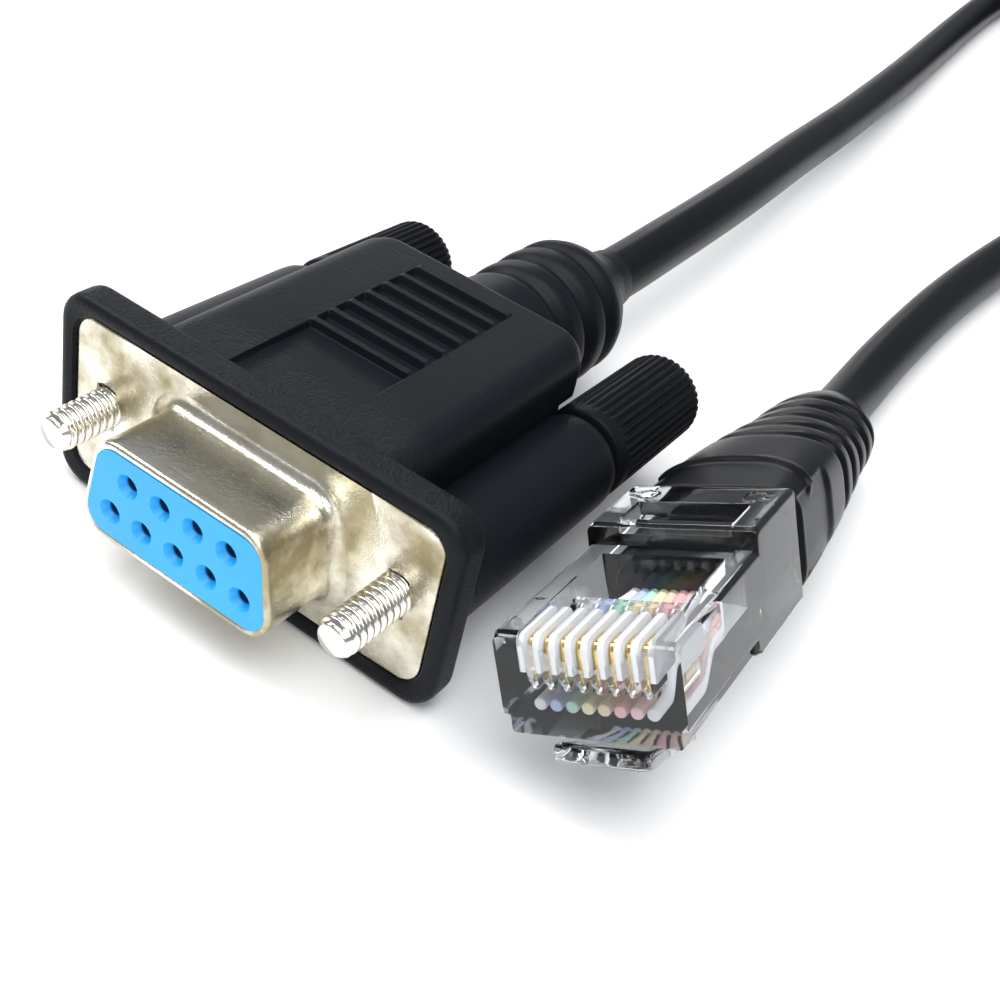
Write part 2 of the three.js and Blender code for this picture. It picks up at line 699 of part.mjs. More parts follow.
const blackMoulding = () => material(0x202225, 0.55, 0);
const blackJacket = () => material(0x17181b, 0.5, 0);
const nickel = () => material(0xcfc9b4, 0.32, 1);
const steel = () => material(0xd8d4c8, 0.25, 1);
const gold = () => material(0xd9b24a, 0.3, 1);
const clearPlastic = () => material(0xe4e8ea, 0.1, 0, 0.35);

const assembly = new THREE.Group();

const connector = new THREE.Group();
connector.position.set(0, flangeY, rimHalfHeight);
assembly.add(connector);
addPiece(connector, 'hood', geometryOf(hoodSolid()), blackMoulding());
addPiece(connector, 'shell', geometryOf(shellSolid()), nickel());
addPiece(connector, 'insulator', geometryOf(insulatorSolid()), material(0x2ea6f2, 0.4, 0));
contactPlaces().forEach(([x, z], i) => {
  const contact = facingOut(contactGeometry());
  contact.translate(x, 0, z);
  addPiece(connector, `socket_contact_${i + 1}`, contact, gold());
});
[['left', -1, leftScrewReach], ['right', 1, rightScrewReach]].forEach(([word, side, reach]) => {
  const screw = facingOut(screwGeometry(reach));
  screw.translate((side * screwSpacing) / 2, 0, 0);
  addPiece(connector, `${word}_screw`, screw, steel());
  const head = facingOut(headGeometry(reach));
  head.translate((side * screwSpacing) / 2, 0, 0);
  addPiece(connector, `${word}_thumb_head`, head, blackMoulding());
});

const plug = new THREE.Group();
const across = plugAcross.clone().normalize();
const up = new THREE.Vector3().crossVectors(across, plugBackwards).normalize();
const back = new THREE.Vector3().crossVectors(up, across);
plug.quaternion.setFromRotationMatrix(new THREE.Matrix4().makeBasis(across, back, up));
plug.position.copy(plugPlace);
assembly.add(plug);
addPiece(plug, 'plug_housing', geometryOf(plugHousingSolid()), clearPlastic());
const wireColours = [0xf4f0f6, 0x3f6fd0, 0x3fae6a, 0xe9c93c, 0xf0a24a, 0xd8505a, 0x9a6a58, 0xd9d9da];
wireColours.forEach((colour, i) => {
  const x = (i - (wireCount - 1) / 2) * wirePitch;
  addPiece(plug, `plug_blade_${i + 1}`, bladeGeometry(x), gold());
  addPiece(plug, `plug_wire_${i + 1}`, wireGeometry(x), material(colour, 0.5, 0));
});
addPiece(plug, 'cable_jacket_end', jacketEndGeometry(), blackJacket());
addPiece(plug, 'plug_boot', bootGeometry(), blackMoulding());
const latch = new THREE.Group();
latch.position.set(0, latchRootY, latchRootZ);
latch.rotation.x = -latchDroop;
plug.add(latch);
addPiece(latch, 'plug_latch', geometryOf(latchSolid()), clearPlastic());

addPiece(assembly, 'cable_hood_run', runGeometry(hoodRun, 24), blackJacket());
addPiece(assembly, 'cable_plug_run', runGeometry(plugRun, 24), blackJacket());
addPiece(assembly, 'cable_coil', facingOut(coilGeometry()), blackJacket());
addPiece(assembly, 'coil_tie', tieGeometry(), material(0x2a2c2f, 0.6, 0));

export default assembly;
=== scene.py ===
import math

import bmesh
import bpy
import numpy as np
from mathutils import Matrix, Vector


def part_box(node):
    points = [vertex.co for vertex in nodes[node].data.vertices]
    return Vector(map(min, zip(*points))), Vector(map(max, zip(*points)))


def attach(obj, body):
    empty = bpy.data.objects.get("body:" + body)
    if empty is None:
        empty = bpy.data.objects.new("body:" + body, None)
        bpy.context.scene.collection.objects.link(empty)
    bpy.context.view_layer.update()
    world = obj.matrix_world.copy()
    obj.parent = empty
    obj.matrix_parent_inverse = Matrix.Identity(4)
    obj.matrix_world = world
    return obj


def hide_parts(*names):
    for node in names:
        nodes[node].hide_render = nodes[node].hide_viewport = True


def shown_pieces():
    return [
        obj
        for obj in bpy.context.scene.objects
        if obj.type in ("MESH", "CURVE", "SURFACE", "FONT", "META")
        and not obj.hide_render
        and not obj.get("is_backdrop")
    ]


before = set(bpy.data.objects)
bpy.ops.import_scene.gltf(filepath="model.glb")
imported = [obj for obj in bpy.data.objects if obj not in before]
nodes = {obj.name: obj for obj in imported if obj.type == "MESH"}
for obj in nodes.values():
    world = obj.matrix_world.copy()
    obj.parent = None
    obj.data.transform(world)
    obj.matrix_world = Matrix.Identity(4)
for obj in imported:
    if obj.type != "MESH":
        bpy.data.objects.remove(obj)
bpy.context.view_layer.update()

MM = 0.001

# ---------------------------------------------------------------- places and sizes
shell_low, shell_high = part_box("shell")
shroud_depth = 6.1 * MM
connector = np.array([0.0, shell_low.y + shroud_depth, (shell_low.z + shell_high.z) / 2])

plug_place = np.array([28.04, -20.625, 7.34]) * MM
plug_across = np.array([0.8822, 0.1359, 0.4508])
plug_across = plug_across / np.linalg.norm(plug_across)
plug_up = np.cross(plug_across, np.array([-0.0798, 0.9867, -0.1414]))
plug_up = plug_up / np.linalg.norm(plug_up)
plug_back = np.cross(plug_up, plug_across)

cable_diameter = 4.8 * MM
scene = bpy.context.scene


# ---------------------------------------------------------------- meshes
def in_connector(points):
    """Points in the D connector's own frame, in millimetres, moved to the row frame in metres."""
    return np.asarray(points, float) * MM + connector


def in_plug(points):
    """Points in the plug's own frame (across, back, up), in millimetres, turned and moved to the row frame."""
    points = np.asarray(points, float) * MM
    turn = np.stack([plug_across, plug_back, plug_up])
    return points @ turn + plug_place


def loft(rings):
    """A closed skin over a stack of rings, an array of rows, columns and three. Neighbouring rings are joined by
    quads, and each end is filled by a fan to the ring's middle. Returns its points, quads and triangles."""
    rows, columns, _ = rings.shape
    points = np.concatenate([rings.reshape(-1, 3), rings[:1].mean(1), rings[-1:].mean(1)])
    here = np.arange(columns)
    after = (here + 1) % columns
    start = np.arange(rows - 1)[:, None] * columns
    quads = np.stack([start + here, start + after, start + columns + after, start + columns + here], -1)
    last = (rows - 1) * columns
    first_fan = np.stack([np.full(columns, rows * columns), after, here], -1)
    last_fan = np.stack([np.full(columns, rows * columns + 1), last + here, last + after], -1)
    return points, quads.reshape(-1, 4), np.concatenate([first_fan, last_fan])


def hoop(rings):
    """A closed ring-shaped skin: the stack of rings is joined back to its first one, with no ends to fill."""
    rows, columns, _ = rings.shape
    here = np.arange(columns)
    after = (here + 1) % columns
    start = np.arange(rows)[:, None] * columns
    beyond = (np.arange(rows)[:, None] + 1) % rows * columns
    quads = np.stack([start + here, start + after, beyond + after, beyond + here], -1)
    return rings.reshape(-1, 3), quads.reshape(-1, 4), np.zeros((0, 3), int)


def volume(points, quads, triangles):
    """Signed volume of a closed skin: a sixth of the triple product, summed over its triangles."""
    corners = np.concatenate([quads[:, [0, 1, 2]], quads[:, [0, 2, 3]], triangles])
    a, b, c = (points[corners[:, k]] for k in range(3))
    return float((a * np.cross(b, c)).sum() / 6)


def piece(name, skins, body, sharp=35.0):
    """One object from closed skins, each turned so that its faces point outwards, smooth below the sharp angle."""
    points, faces, offset = [], [], 0
    for skin_points, quads, triangles in skins:
        if volume(skin_points - skin_points.mean(0), quads, triangles) < 0:
            quads, triangles = quads[:, ::-1], triangles[:, ::-1]
        points.append(skin_points)
        faces += (quads + offset).tolist() + (triangles + offset).tolist()
        offset += len(skin_points)
    mesh = bpy.data.meshes.new(name)
    mesh.from_pydata(np.concatenate(points).tolist(), [], faces)
    mesh.polygons.foreach_set("use_smooth", np.ones(len(faces), bool))
    mesh.set_sharp_from_angle(angle=math.radians(sharp))
    thing = bpy.data.objects.new(name, mesh)
    scene.collection.objects.link(thing)
    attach(thing, body)
    return thing


def round_corners(corners, radii, steps=8):
    """Outline of a convex polygon with its corners rounded, as a function of how far it is moved in. At each corner the
    arc's centre lies on the bisector, and a smaller radius about the same centre moves the whole outline in."""
    corners = np.asarray(corners, float)
    radii = np.broadcast_to(np.asarray(radii, float), len(corners))
    back = np.roll(corners, 1, 0) - corners
    ahead = np.roll(corners, -1, 0) - corners
    back = back / np.linalg.norm(back, axis=1, keepdims=True)
    ahead = ahead / np.linalg.norm(ahead, axis=1, keepdims=True)
    half = np.arccos(np.clip((back * ahead).sum(1), -1, 1)) / 2
    middle = (back + ahead) / np.linalg.norm(back + ahead, axis=1, keepdims=True)
    centres = corners + middle * (radii / np.sin(half))[:, None]
    first = corners + back * (radii / np.tan(half))[:, None] - centres
    start = np.arctan2(first[:, 1], first[:, 0])
    angles = start[:, None] + (np.pi - 2 * half)[:, None] * np.linspace(0, 1, steps)
    ways = np.stack([np.cos(angles), np.sin(angles)], -1)

    def outline(inset=0.0):
        reach = np.maximum(radii - inset, 0.02)[:, None, None]
        return (centres[:, None] + ways * reach).reshape(-1, 2)

    return outline


def rectangle(width, height, radius, centre=(0.0, 0.0), steps=8):
    x, y = width / 2, height / 2
    corners = np.array([(-x, -y), (x, -y), (x, y), (-x, y)]) + np.array(centre)
    return round_corners(corners, radius, steps)


def along(axis, outlines, stations):
    """Rings from outlines across an axis, one at each station along it: an outline's two values fill the other axes."""
    across = [k for k in range(3) if k != axis]
    rings = np.zeros((len(stations), len(outlines[0]), 3))
    rings[:, :, across] = np.asarray(outlines, float)
    rings[:, :, axis] = np.asarray(stations, float)[:, None]
    return rings


def ease(value, start, end):
    """Nought before start, one after end, and the smooth cubic 3t^2 - 2t^3 between."""
    t = np.clip((value - start) / (end - start), 0, 1)
    return t * t * (3 - 2 * t)


def bell(value, centre, width):
    return np.exp(-(((value - centre) / width) ** 2))


def tube(path, radius, sides=20):
    """A round bar whose rings stand across the Y axis at each point of its path."""
    angles = np.arange(sides) / sides * 2 * np.pi
    rings = np.repeat(np.asarray(path, float)[:, None], sides, 1)
    rings[:, :, 0] += np.reshape(radius, (-1, 1)) * np.cos(angles)
    rings[:, :, 2] += np.reshape(radius, (-1, 1)) * np.sin(angles)
    return loft(rings)


def turned(profile, sides, centre=(0.0, 0.0)):
    """Rings of a turned shape about an axis along Y: each profile row is a radius and a place along the axis."""
    profile = np.asarray(profile, float)
    angles = np.arange(sides) / sides * 2 * np.pi
    rings = np.zeros((len(profile), sides, 3))
    rings[:, :, 0] = centre[0] + profile[:, :1] * np.cos(angles)
    rings[:, :, 2] = centre[1] + profile[:, :1] * np.sin(angles)
    rings[:, :, 1] = profile[:, 1:]
    return rings


# ---------------------------------------------------------------- camera
focal_pixels = 1413.8
image_pixels = 1000.0
camera_data = bpy.data.cameras.new("camera")
camera_data.sensor_width = 36.0
camera_data.lens = camera_data.sensor_width * focal_pixels / image_pixels
camera_data.clip_start = 0.005
camera = bpy.data.objects.new("camera", camera_data)
camera_right = np.array([0.802873, 0.562243, 0.198187])
camera_ahead = np.array([-0.351168, 0.714686, -0.604900])
camera_up = np.cross(camera_right, camera_ahead)
camera_place = np.array([45.443, -55.954, 58.281]) * MM + connector
camera_matrix = np.eye(4)
camera_matrix[:3, 0] = camera_right
camera_matrix[:3, 1] = camera_up
camera_matrix[:3, 2] = -camera_ahead
camera_matrix[:3, 3] = camera_place
camera.matrix_world = Matrix(camera_matrix.tolist()).normalized()
scene.collection.objects.link(camera)
scene.camera = camera


# ---------------------------------------------------------------- cable
hood_run = np.array([
    [0, 24.9, 7.7], [0, 31, 7.7], [-0.1, 36.5, 7.7], [-0.3, 44, 7.6], [-0.8, 54, 7.3], [-1.6, 63.5, 6.8],
    [-2.5, 73, 6.2], [-3.5, 84.5, 5.4], [-4.6, 96, 4.6], [-5.9, 108.5, 3.9], [-7.4, 122.5, 3.2], [-8.9, 136, 2.75],
    [-10.4, 151, 2.55], [-11.7, 166, 2.5], [-12.3, 178, 2.6], [-12.1, 190, 2.9], [-11.2, 202, 3.2],
]) * MM
plug_run = np.array([
    [22.47, 27.36, 3.77], [21.98, 33.4, 2.93], [21.6, 38.5, 2.58], [21.3, 44, 2.5], [21.12, 52, 2.5],
    [21.15, 62.5, 2.5], [21.8, 75, 2.5], [23.2, 90, 2.5], [25.3, 106, 2.5], [28.0, 123, 2.5], [31.0, 140, 2.5],
    [34.2, 156, 2.5], [37.4, 170, 2.6], [40.2, 182, 3.2], [42.6, 193, 4.6], [44.6, 204, 6.6],
]) * MM
coil_centre = np.array([14.0, 215.5]) * MM
coil_radius = 27 * MM
coil_foot = 1.05 * MM
coil_turns = 6.5
points_per_turn = 36


def coil_line():
    """The coil's middle line. Its seven places lie in a bundle of two, three and two. Each turn keeps to one place
    and moves over to the next in a short smooth step, later turns sooner, so that none passes through another."""
    first_lead, lead_growth, step_length = 0.06, 0.12, 0.2
    d = cable_diameter
    rise = d * math.sqrt(0.75)
    across = np.array([0.5, -0.5, -1.0, 0.0, -0.5, 0.5, 1.0]) * d
    level = np.array([0.0, 0.0, 1.0, 1.0, 2.0, 2.0, 1.0]) * rise + coil_foot + d / 2
    t = np.linspace(0, coil_turns, int(coil_turns * points_per_turn) + 1)
    radius = np.full(len(t), coil_radius + across[0])
    height = np.full(len(t), level[0])
    for k in range(1, len(across)):
        step = np.clip((t - (k - first_lead - lead_growth * (k - 1))) / step_length + 0.5, 0, 1)
        step = step * step * (3 - 2 * step)
        radius += (across[k] - across[k - 1]) * step
        height += (level[k] - level[k - 1]) * step
    angle = np.pi - 2 * np.pi * t
    return np.stack([coil_centre[0] + radius * np.cos(angle), coil_centre[1] + radius * np.sin(angle), height], -1)


def smooth_line(points, per_segment):
    """A Catmull-Rom line through the points: in each segment the cubic through its two ends whose slopes there are half
    the step between their neighbours."""
    ends = np.concatenate([2 * points[:1] - points[1:2], points, 2 * points[-1:] - points[-2:-1]])
    a, b, c, d = ends[:-3, None], ends[1:-2, None], ends[2:-1, None], ends[3:, None]
    t = (np.arange(per_segment) / per_segment)[None, :, None]
    line = 0.5 * (2 * b + (c - a) * t + (2 * a - 5 * b + 4 * c - d) * t**2 + (3 * b - a - 3 * c + d) * t**3)
    return np.concatenate([line.reshape(-1, 3), points[-1:]])


def cable_line():
    """The whole cable's middle line: from the hood, round the coil and back to the plug."""
    return smooth_line(np.concatenate([hood_run, coil_line(), plug_run[::-1]]), 5)


line = cable_line()
cable_data = bpy.data.curves.new("cable", "CURVE")
cable_data.dimensions = "3D"
cable_data.bevel_depth = 1.0  # times each point's radius
cable_data.bevel_resolution = 8
cable_data.use_fill_caps = True
spline = cable_data.splines.new("POLY")
spline.points.add(len(line) - 1)
spline.points.foreach_set("co", np.column_stack([line, np.ones(len(line))]).ravel())
spline.points.foreach_set("radius", np.full(len(line), cable_diameter / 2))
spline.use_smooth = True
cable = bpy.data.objects.new("cable", cable_data)
scene.collection.objects.link(cable)
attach(cable, "cable")
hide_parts("cable_hood_run", "cable_coil", "cable_plug_run")

# ---------------------------------------------------------------- hood
flange_half = (15.405, 6.275)
rim_border = 1.45
rim_outline = rectangle(2 * (flange_half[0] + rim_border), 2 * (flange_half[1] + rim_border), 2.4)
plate_outline = rectangle(2 * flange_half[0], 2 * flange_half[1], 1.9)
screw_x = 12.495


def rim_skin():
    """The rim round the flange plate: its outline carried back with rounded edges, hollowed in front for the plate."""
    inner = plate_outline(-0.12)
    outlines = [plate_outline(0.3), inner, inner, plate_outline(-0.3)]
    stations = [0.95, 0.95, 0.1, -0.16]
    for inset, y in ((0.75, -0.3), (0.42, -0.27), (0.16, -0.1), (0.03, 0.15), (0.0, 0.45)):
        outlines.append(rim_outline(inset))
        stations.append(y)
    for inset, y in ((0.0, 1.75), (0.05, 1.98), (0.2, 2.13), (0.45, 2.2)):
        outlines.append(rim_outline(inset))
        stations.append(y)
    return loft(along(1, outlines, stations))


def face_relief(x, y):
    """How far the hood's flat face is sunk at a place: the whole panel depth over its bare front part and in the
    grooves, nought outside the panel, and a little less than nought on the ridges, with short slopes between."""
    slope, start, pitch, last = 0.14, 10.43, 1.96, 6
    inside = np.clip((4.25 - np.abs(x)) / slope, 0, 1)
    bare = np.clip((y - 1.9) / slope, 0, 1) * np.clip((start - 0.26 - y) / slope, 0, 1)
    phase = (y - start + pitch / 2) % pitch - pitch / 2
    among = (y > start - 0.3) & (y < start + last * pitch + 0.3)
    groove = np.clip((np.abs(phase) - 0.28) / slope, 0, 1) * (y > start) * (y < start + last * pitch)
    ridge = among * (1 - np.clip((np.abs(phase) - 0.28) / slope, 0, 1))
    return inside * (0.45 * np.maximum(bare, groove) - 0.1 * ridge)


def body_skin():
    """The hood's body: at each station a rounded rectangle, by circle arcs narrower in plan and lower at the rear end,
    its flat faces sunk by the panel, its sides scooped out round the thumb heads."""
    half_width, half_height, edge, end = 10.4, 7.4, 2.0, 24.6
    rear_corner, rear_brow, side_draft = 2.0, 0.7, 0.008
    scoop_radius, scoop_front = 3.95, 21.2
    rear_arc = end - rear_corner * (1 - np.sin(np.linspace(0.02, np.pi / 2, 22)))
    y = np.concatenate([np.arange(0.9, 9.9, 0.1), np.arange(9.9, 22.6, 0.07), rear_arc])[:, None]
    into_corner = np.clip((y - end + rear_corner) / rear_corner, 0, 1)
    into_brow = np.clip((y - end + rear_brow) / rear_brow, 0, 1)
    plan = rear_corner * (1 - np.sqrt(np.clip(1 - into_corner**2, 0, 1)))
    brow = rear_brow * (1 - np.sqrt(np.clip(1 - into_brow**2, 0, 1)))
    half_x = half_width - side_draft * y - plan
    half_z = half_height - brow
    spread = np.concatenate([np.linspace(-1, -0.56, 8), np.linspace(-0.54, -0.47, 10), np.linspace(-0.45, 0.45, 30),
                             np.linspace(0.47, 0.54, 10), np.linspace(0.56, 1, 8)])[None, :]
    arc = np.linspace(0, np.pi / 2, 12)[None, 1:-1]
    wall = np.linspace(1, -1, 24)[None, :]
    flat_x, flat_z = half_x - edge, half_z - edge
    ones = np.ones_like(y)
    xs = [flat_x * spread, flat_x + edge * np.sin(arc), half_x * np.ones_like(wall), flat_x + edge * np.cos(arc)]
    zs = [half_z * np.ones_like(spread), flat_z + edge * np.cos(arc), flat_z * wall, -flat_z - edge * np.sin(arc)]
    x = np.concatenate([v * ones for v in xs] + [-v * ones for v in xs], 1)
    z = np.concatenate([v * ones for v in zs] + [-v * ones for v in zs], 1)
    flat = np.abs(z) > half_z - 0.01
    z = z - np.sign(z) * face_relief(x, y) * flat
    scoop = screw_x - np.sqrt(np.clip(scoop_radius**2 - z**2, 0, None))
    by_head = (y > scoop_front) & (np.abs(z) < scoop_radius)
    scooped = np.where(by_head, np.minimum(np.abs(x), scoop), np.abs(x))
    return loft(np.stack([np.sign(x) * scooped, y * np.ones_like(x), z], -1))


def boss_skin(side):
    profile = [(3.95, 1.0), (3.93, 8), (3.76, 19.6), (3.7, 20.4), (3.5, 21.0), (3.1, 21.35), (2.4, 21.5), (1.8, 21.5)]
    return loft(turned(profile, 64, (side * screw_x, 0.0)))


def relief_skin():
    """Neck and strain relief: a turned body whose radius is read off its silhouette, less three soft grooves, each a
    bell in the distance along, deeper at the sides than on top."""
    y = np.concatenate([np.arange(22.0, 29.0, 0.5), np.arange(29.0, 46.2, 0.1)])
    stations = [22, 30, 37.6, 38.6, 39.6, 40.6, 41.7, 42.8, 44.2, 46.1]
    body = np.interp(y, stations, [5.7, 5.75, 5.87, 5.74, 5.38, 4.85, 4.15, 3.5, 2.95, 2.62])
    angles = np.arange(96) / 96 * 2 * np.pi
    grooves = sum(bell(y, place, 0.62) for place in (30.6, 33.9, 37.1))
    depth = grooves[:, None] * (0.45 + 0.4 * np.cos(angles)[None, :] ** 2)
    radius = body[:, None] - depth
    rings = np.stack([radius * np.cos(angles), y[:, None] * np.ones_like(radius), radius * np.sin(angles)], -1)
    return loft(rings)


def placed(skin, place=in_connector):
    return place(skin[0]), skin[1], skin[2]


hood_skins = [rim_skin(), body_skin(), boss_skin(-1), boss_skin(1), relief_skin()]
hood = piece("moulded_hood", [placed(skin) for skin in hood_skins], "cable")
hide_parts("hood")


# ---------------------------------------------------------------- thumbscrews
def thread_rings(tip, centre_x):
    """A right-hand screw thread: about the axis the radius swings between crest and root as a triangle wave of the
    distance along less the turn's share of the pitch, and it tapers to the root at the tip."""
    pitch, crest, root = 0.635, 1.42, 1.13
    sides = 48
    y = np.arange(0, 9.0, pitch / 12)
    angles = np.arange(sides) / sides * 2 * np.pi
    phase = (y[:, None] / pitch - angles[None, :] / (2 * np.pi)) % 1.0
    wave = 1 - np.abs(2 * phase - 1)
    wave = np.clip((wave - 0.12) / 0.62, 0, 1)
    radius = root + (crest - root) * wave
    limit = 1.05 + np.minimum(y, 0.45)[:, None] * 0.85
    radius = np.minimum(radius, limit)
    rings = np.zeros((len(y), sides, 3))
    rings[:, :, 0] = centre_x + radius * np.cos(angles)
    rings[:, :, 2] = radius * np.sin(angles)
    rings[:, :, 1] = (tip + y)[:, None]
    return rings


def screw_skins(side, reach):
    centre_x = side * screw_x
    shank = turned([(1.12, 8.9 - reach), (1.12, 37.0 - reach)], 24, (centre_x, 0.0))
    return [loft(thread_rings(-reach, centre_x)), loft(shank)]


def head_skin(side, reach, droop):
    """Thumb head: lengthwise knurling that starts behind a smooth collar and runs out over the rounded rear edge to a
    flat end. The head's axis droops a little to the rear, by the play of its screw."""
    front = 21.8 + 5.9 - reach
    length, edge, sides, ribs = 13.0, 1.2, 288, 36
    y = np.concatenate([[0.0, 0.1, 0.3], np.linspace(0.5, length - edge, 60),
                        length - edge + edge * np.sin(np.linspace(0.1, np.pi / 2, 14)), [length]])
    over = np.clip((y - length + edge) / edge, 0, 1)
    radius = 3.58 - 0.1 * np.clip(y / length, 0, 1) - edge * (1 - np.sqrt(1 - over**2))
    radius[:2] -= (0.22, 0.07)
    radius[-1] = 1.0
    angles = np.arange(sides) / sides * 2 * np.pi
    rib = np.clip(np.cos(angles * ribs) * 1.6 + 0.3, -1, 1)
    depth = 0.085 * ease(y, 0.9, 1.8) * (1 - 0.85 * ease(y, length - 0.8, length))
    whole = radius[:, None] + depth[:, None] * (rib[None, :] - 1)
    rings = np.zeros((len(y), sides, 3))
    rings[:, :, 0] = side * screw_x + whole * np.cos(angles)
    rings[:, :, 2] = whole * np.sin(angles) - droop * (front + y[:, None] - 12.0)
    rings[:, :, 1] = front + y[:, None]
    return loft(rings)


for side, word, reach, droop in ((-1, "left", 4.7, 0.02), (1, "right", 5.9, 0.008)):
    body = f"{word}_jackscrew"
    skins = [placed(skin) for skin in screw_skins(side, reach)]
    screw = piece(f"{word}_threaded_screw", skins, body, 50)
    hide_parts(f"{word}_screw")
    head = piece(f"{word}_knurled_head", [placed(head_skin(side, reach, droop))], body)
    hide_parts(f"{word}_thumb_head")


# ---------------------------------------------------------------- nickel shell and blue insulator
contact_pitch, row_spacing = 2.77, 2.84
shroud_half = (8.165, 3.95)
shroud_lean = math.tan(math.radians(10))


def shroud_outline():
    """The D shape: wide below and narrow above, its sides leaning in, its corners rounded."""
    x, z = shroud_half
    foot, lean = 0.2, 2 * (z - 2.1) * shroud_lean + 0.55
    return round_corners([(-x - foot, -z), (x + foot, -z), (x - lean, z), (-x + lean, z)], 2.1, 12)


def sleeve_skin(outline):
    """The drawn shroud: one closed profile of insets and depths carried round the D, with a fillet at its root, a
    rolled mouth, and its inner wall."""
    fillet = np.linspace(0, np.pi / 2, 9)
    rows = [(-1.0 + 1.0 * np.sin(a), 0.0 - 1.0 * (1 - np.cos(a))) for a in fillet]
    rows += [(0.02, -2.4), (0.03, -4.0), (0.0, -5.4)]
    rows += [(0.3 - 0.3 * np.cos(a), -5.8 - 0.3 * np.sin(a)) for a in np.linspace(0, np.pi, 11)]
    rows += [(0.6, -5.2), (0.6, 0.8), (-1.0, 0.8)]
    return hoop(along(1, [outline(inset) for inset, _ in rows], [y for _, y in rows]))


def plate_zone(outer, inner, cuts):
    """A part of the flange plate between an outer and an inner outline, which is a function of how far it moves in.
    Its edges are rounded, but not where it is cut from the next part, which stays at the same place across."""
    def kept(inset):
        points = outer(inset)
        for x in cuts:
            points[:, 0] = np.where(np.abs(outer(0.0)[:, 0] - x) < 0.1, x, points[:, 0])
        return points

    rows = [(inner(0.0), 0.8), (inner(0.0), 0.14), (inner(0.04), 0.04), (inner(0.14), 0.0)]
    rows += [(kept(0.2), 0.0), (kept(0.08), 0.03), (kept(0.0), 0.12), (kept(0.0), 0.8)]
    return hoop(along(1, [row for row, _ in rows], [y for _, y in rows]))


def plate_skins(outline):
    """The flange plate: a middle zone round the D hole, and at each end a zone round its screw hole, where each point
    of the hole lies on the line from its middle to the zone's own edge."""
    x_cut, half_z = 9.6, flange_half[1]
    middle = round_corners([(-x_cut, -half_z), (x_cut, -half_z), (x_cut, half_z), (-x_cut, half_z)], 0.05, 12)
    skins = [plate_zone(middle, lambda inset: outline(0.5 - inset), (-x_cut, x_cut))]
    for side in (-1, 1):
        low, high = sorted((side * x_cut, side * flange_half[0]))
        radii = [1.6 if side * x > 10 else 0.05 for x in (low, high, high, low)]
        zone = round_corners([(low, -half_z), (high, -half_z), (high, half_z), (low, half_z)], radii, 16)
        hole_middle = np.array([side * screw_x, 0.0])

        def hole(inset, zone=zone, hole_middle=hole_middle):
            ways = zone(0.0) - hole_middle
            return hole_middle + ways / np.linalg.norm(ways, axis=1, keepdims=True) * (1.75 + inset)

        skins.append(plate_zone(zone, hole, (side * x_cut,)))
    return skins


the_d = shroud_outline()
shell_skins = [placed(skin) for skin in [sleeve_skin(the_d)] + plate_skins(the_d)]
shell = piece("nickel_shell", shell_skins, "cable")
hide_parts("shell")


def merged_copy(node, name, sharp=30.0, bevel=0.0):
    """A copy of a CAD node with its loose triangles joined, its flat faces whole again and its arcs smooth."""
    work = bmesh.new()
    work.from_mesh(node.data)
    bmesh.ops.remove_doubles(work, verts=work.verts, dist=2e-6)
    bmesh.ops.dissolve_limit(work, angle_limit=math.radians(1.0), verts=work.verts, edges=work.edges)
    mesh = bpy.data.meshes.new(name)
    work.to_mesh(mesh)
    work.free()
    mesh.polygons.foreach_set("use_smooth", np.ones(len(mesh.polygons), bool))
    mesh.set_sharp_from_angle(angle=math.radians(sharp))
    thing = bpy.data.objects.new(name, mesh)
    scene.collection.objects.link(thing)
    if bevel:
        rounding = thing.modifiers.new("rounding", "BEVEL")
        rounding.width = bevel * MM
        rounding.segments = 2
        rounding.limit_method = "ANGLE"
        rounding.angle_limit = math.radians(40)
    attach(thing, "cable")
    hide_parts(node.name)
    return thing


insulator = merged_copy(nodes["insulator"], "blue_socket_block", 40, 0.06)
contact_places = [((i - 1.5) * contact_pitch, row_spacing / 2) for i in range(4)]
contact_places += [((i - 2) * contact_pitch, -row_spacing / 2) for i in range(5)]


def painted_shade_cup_skin(x, z):
    """Painted shade: a short dark cup behind the funnel, standing for the shadow inside a socket's mouth."""
    profile = [(0.2, -5.1), (0.5, -5.2), (0.55, -5.5), (0.555, -5.5), (0.555, -4.3), (0.2, -4.3)]
    return loft(turned(profile, 24, (x, z)))


# painted shade: dark cups set in the socket holes to stand for the shadow inside them
painted_shade_cups = piece("painted_shade_socket_mouths", [placed(painted_shade_cup_skin(x, z)) for x, z in contact_places], "cable")

# ---------------------------------------------------------------- modular plug
plug_half, plug_length = 5.84, 21.9
wire_pitch = 1.02
wire_places = (np.arange(8) - 3.5) * wire_pitch


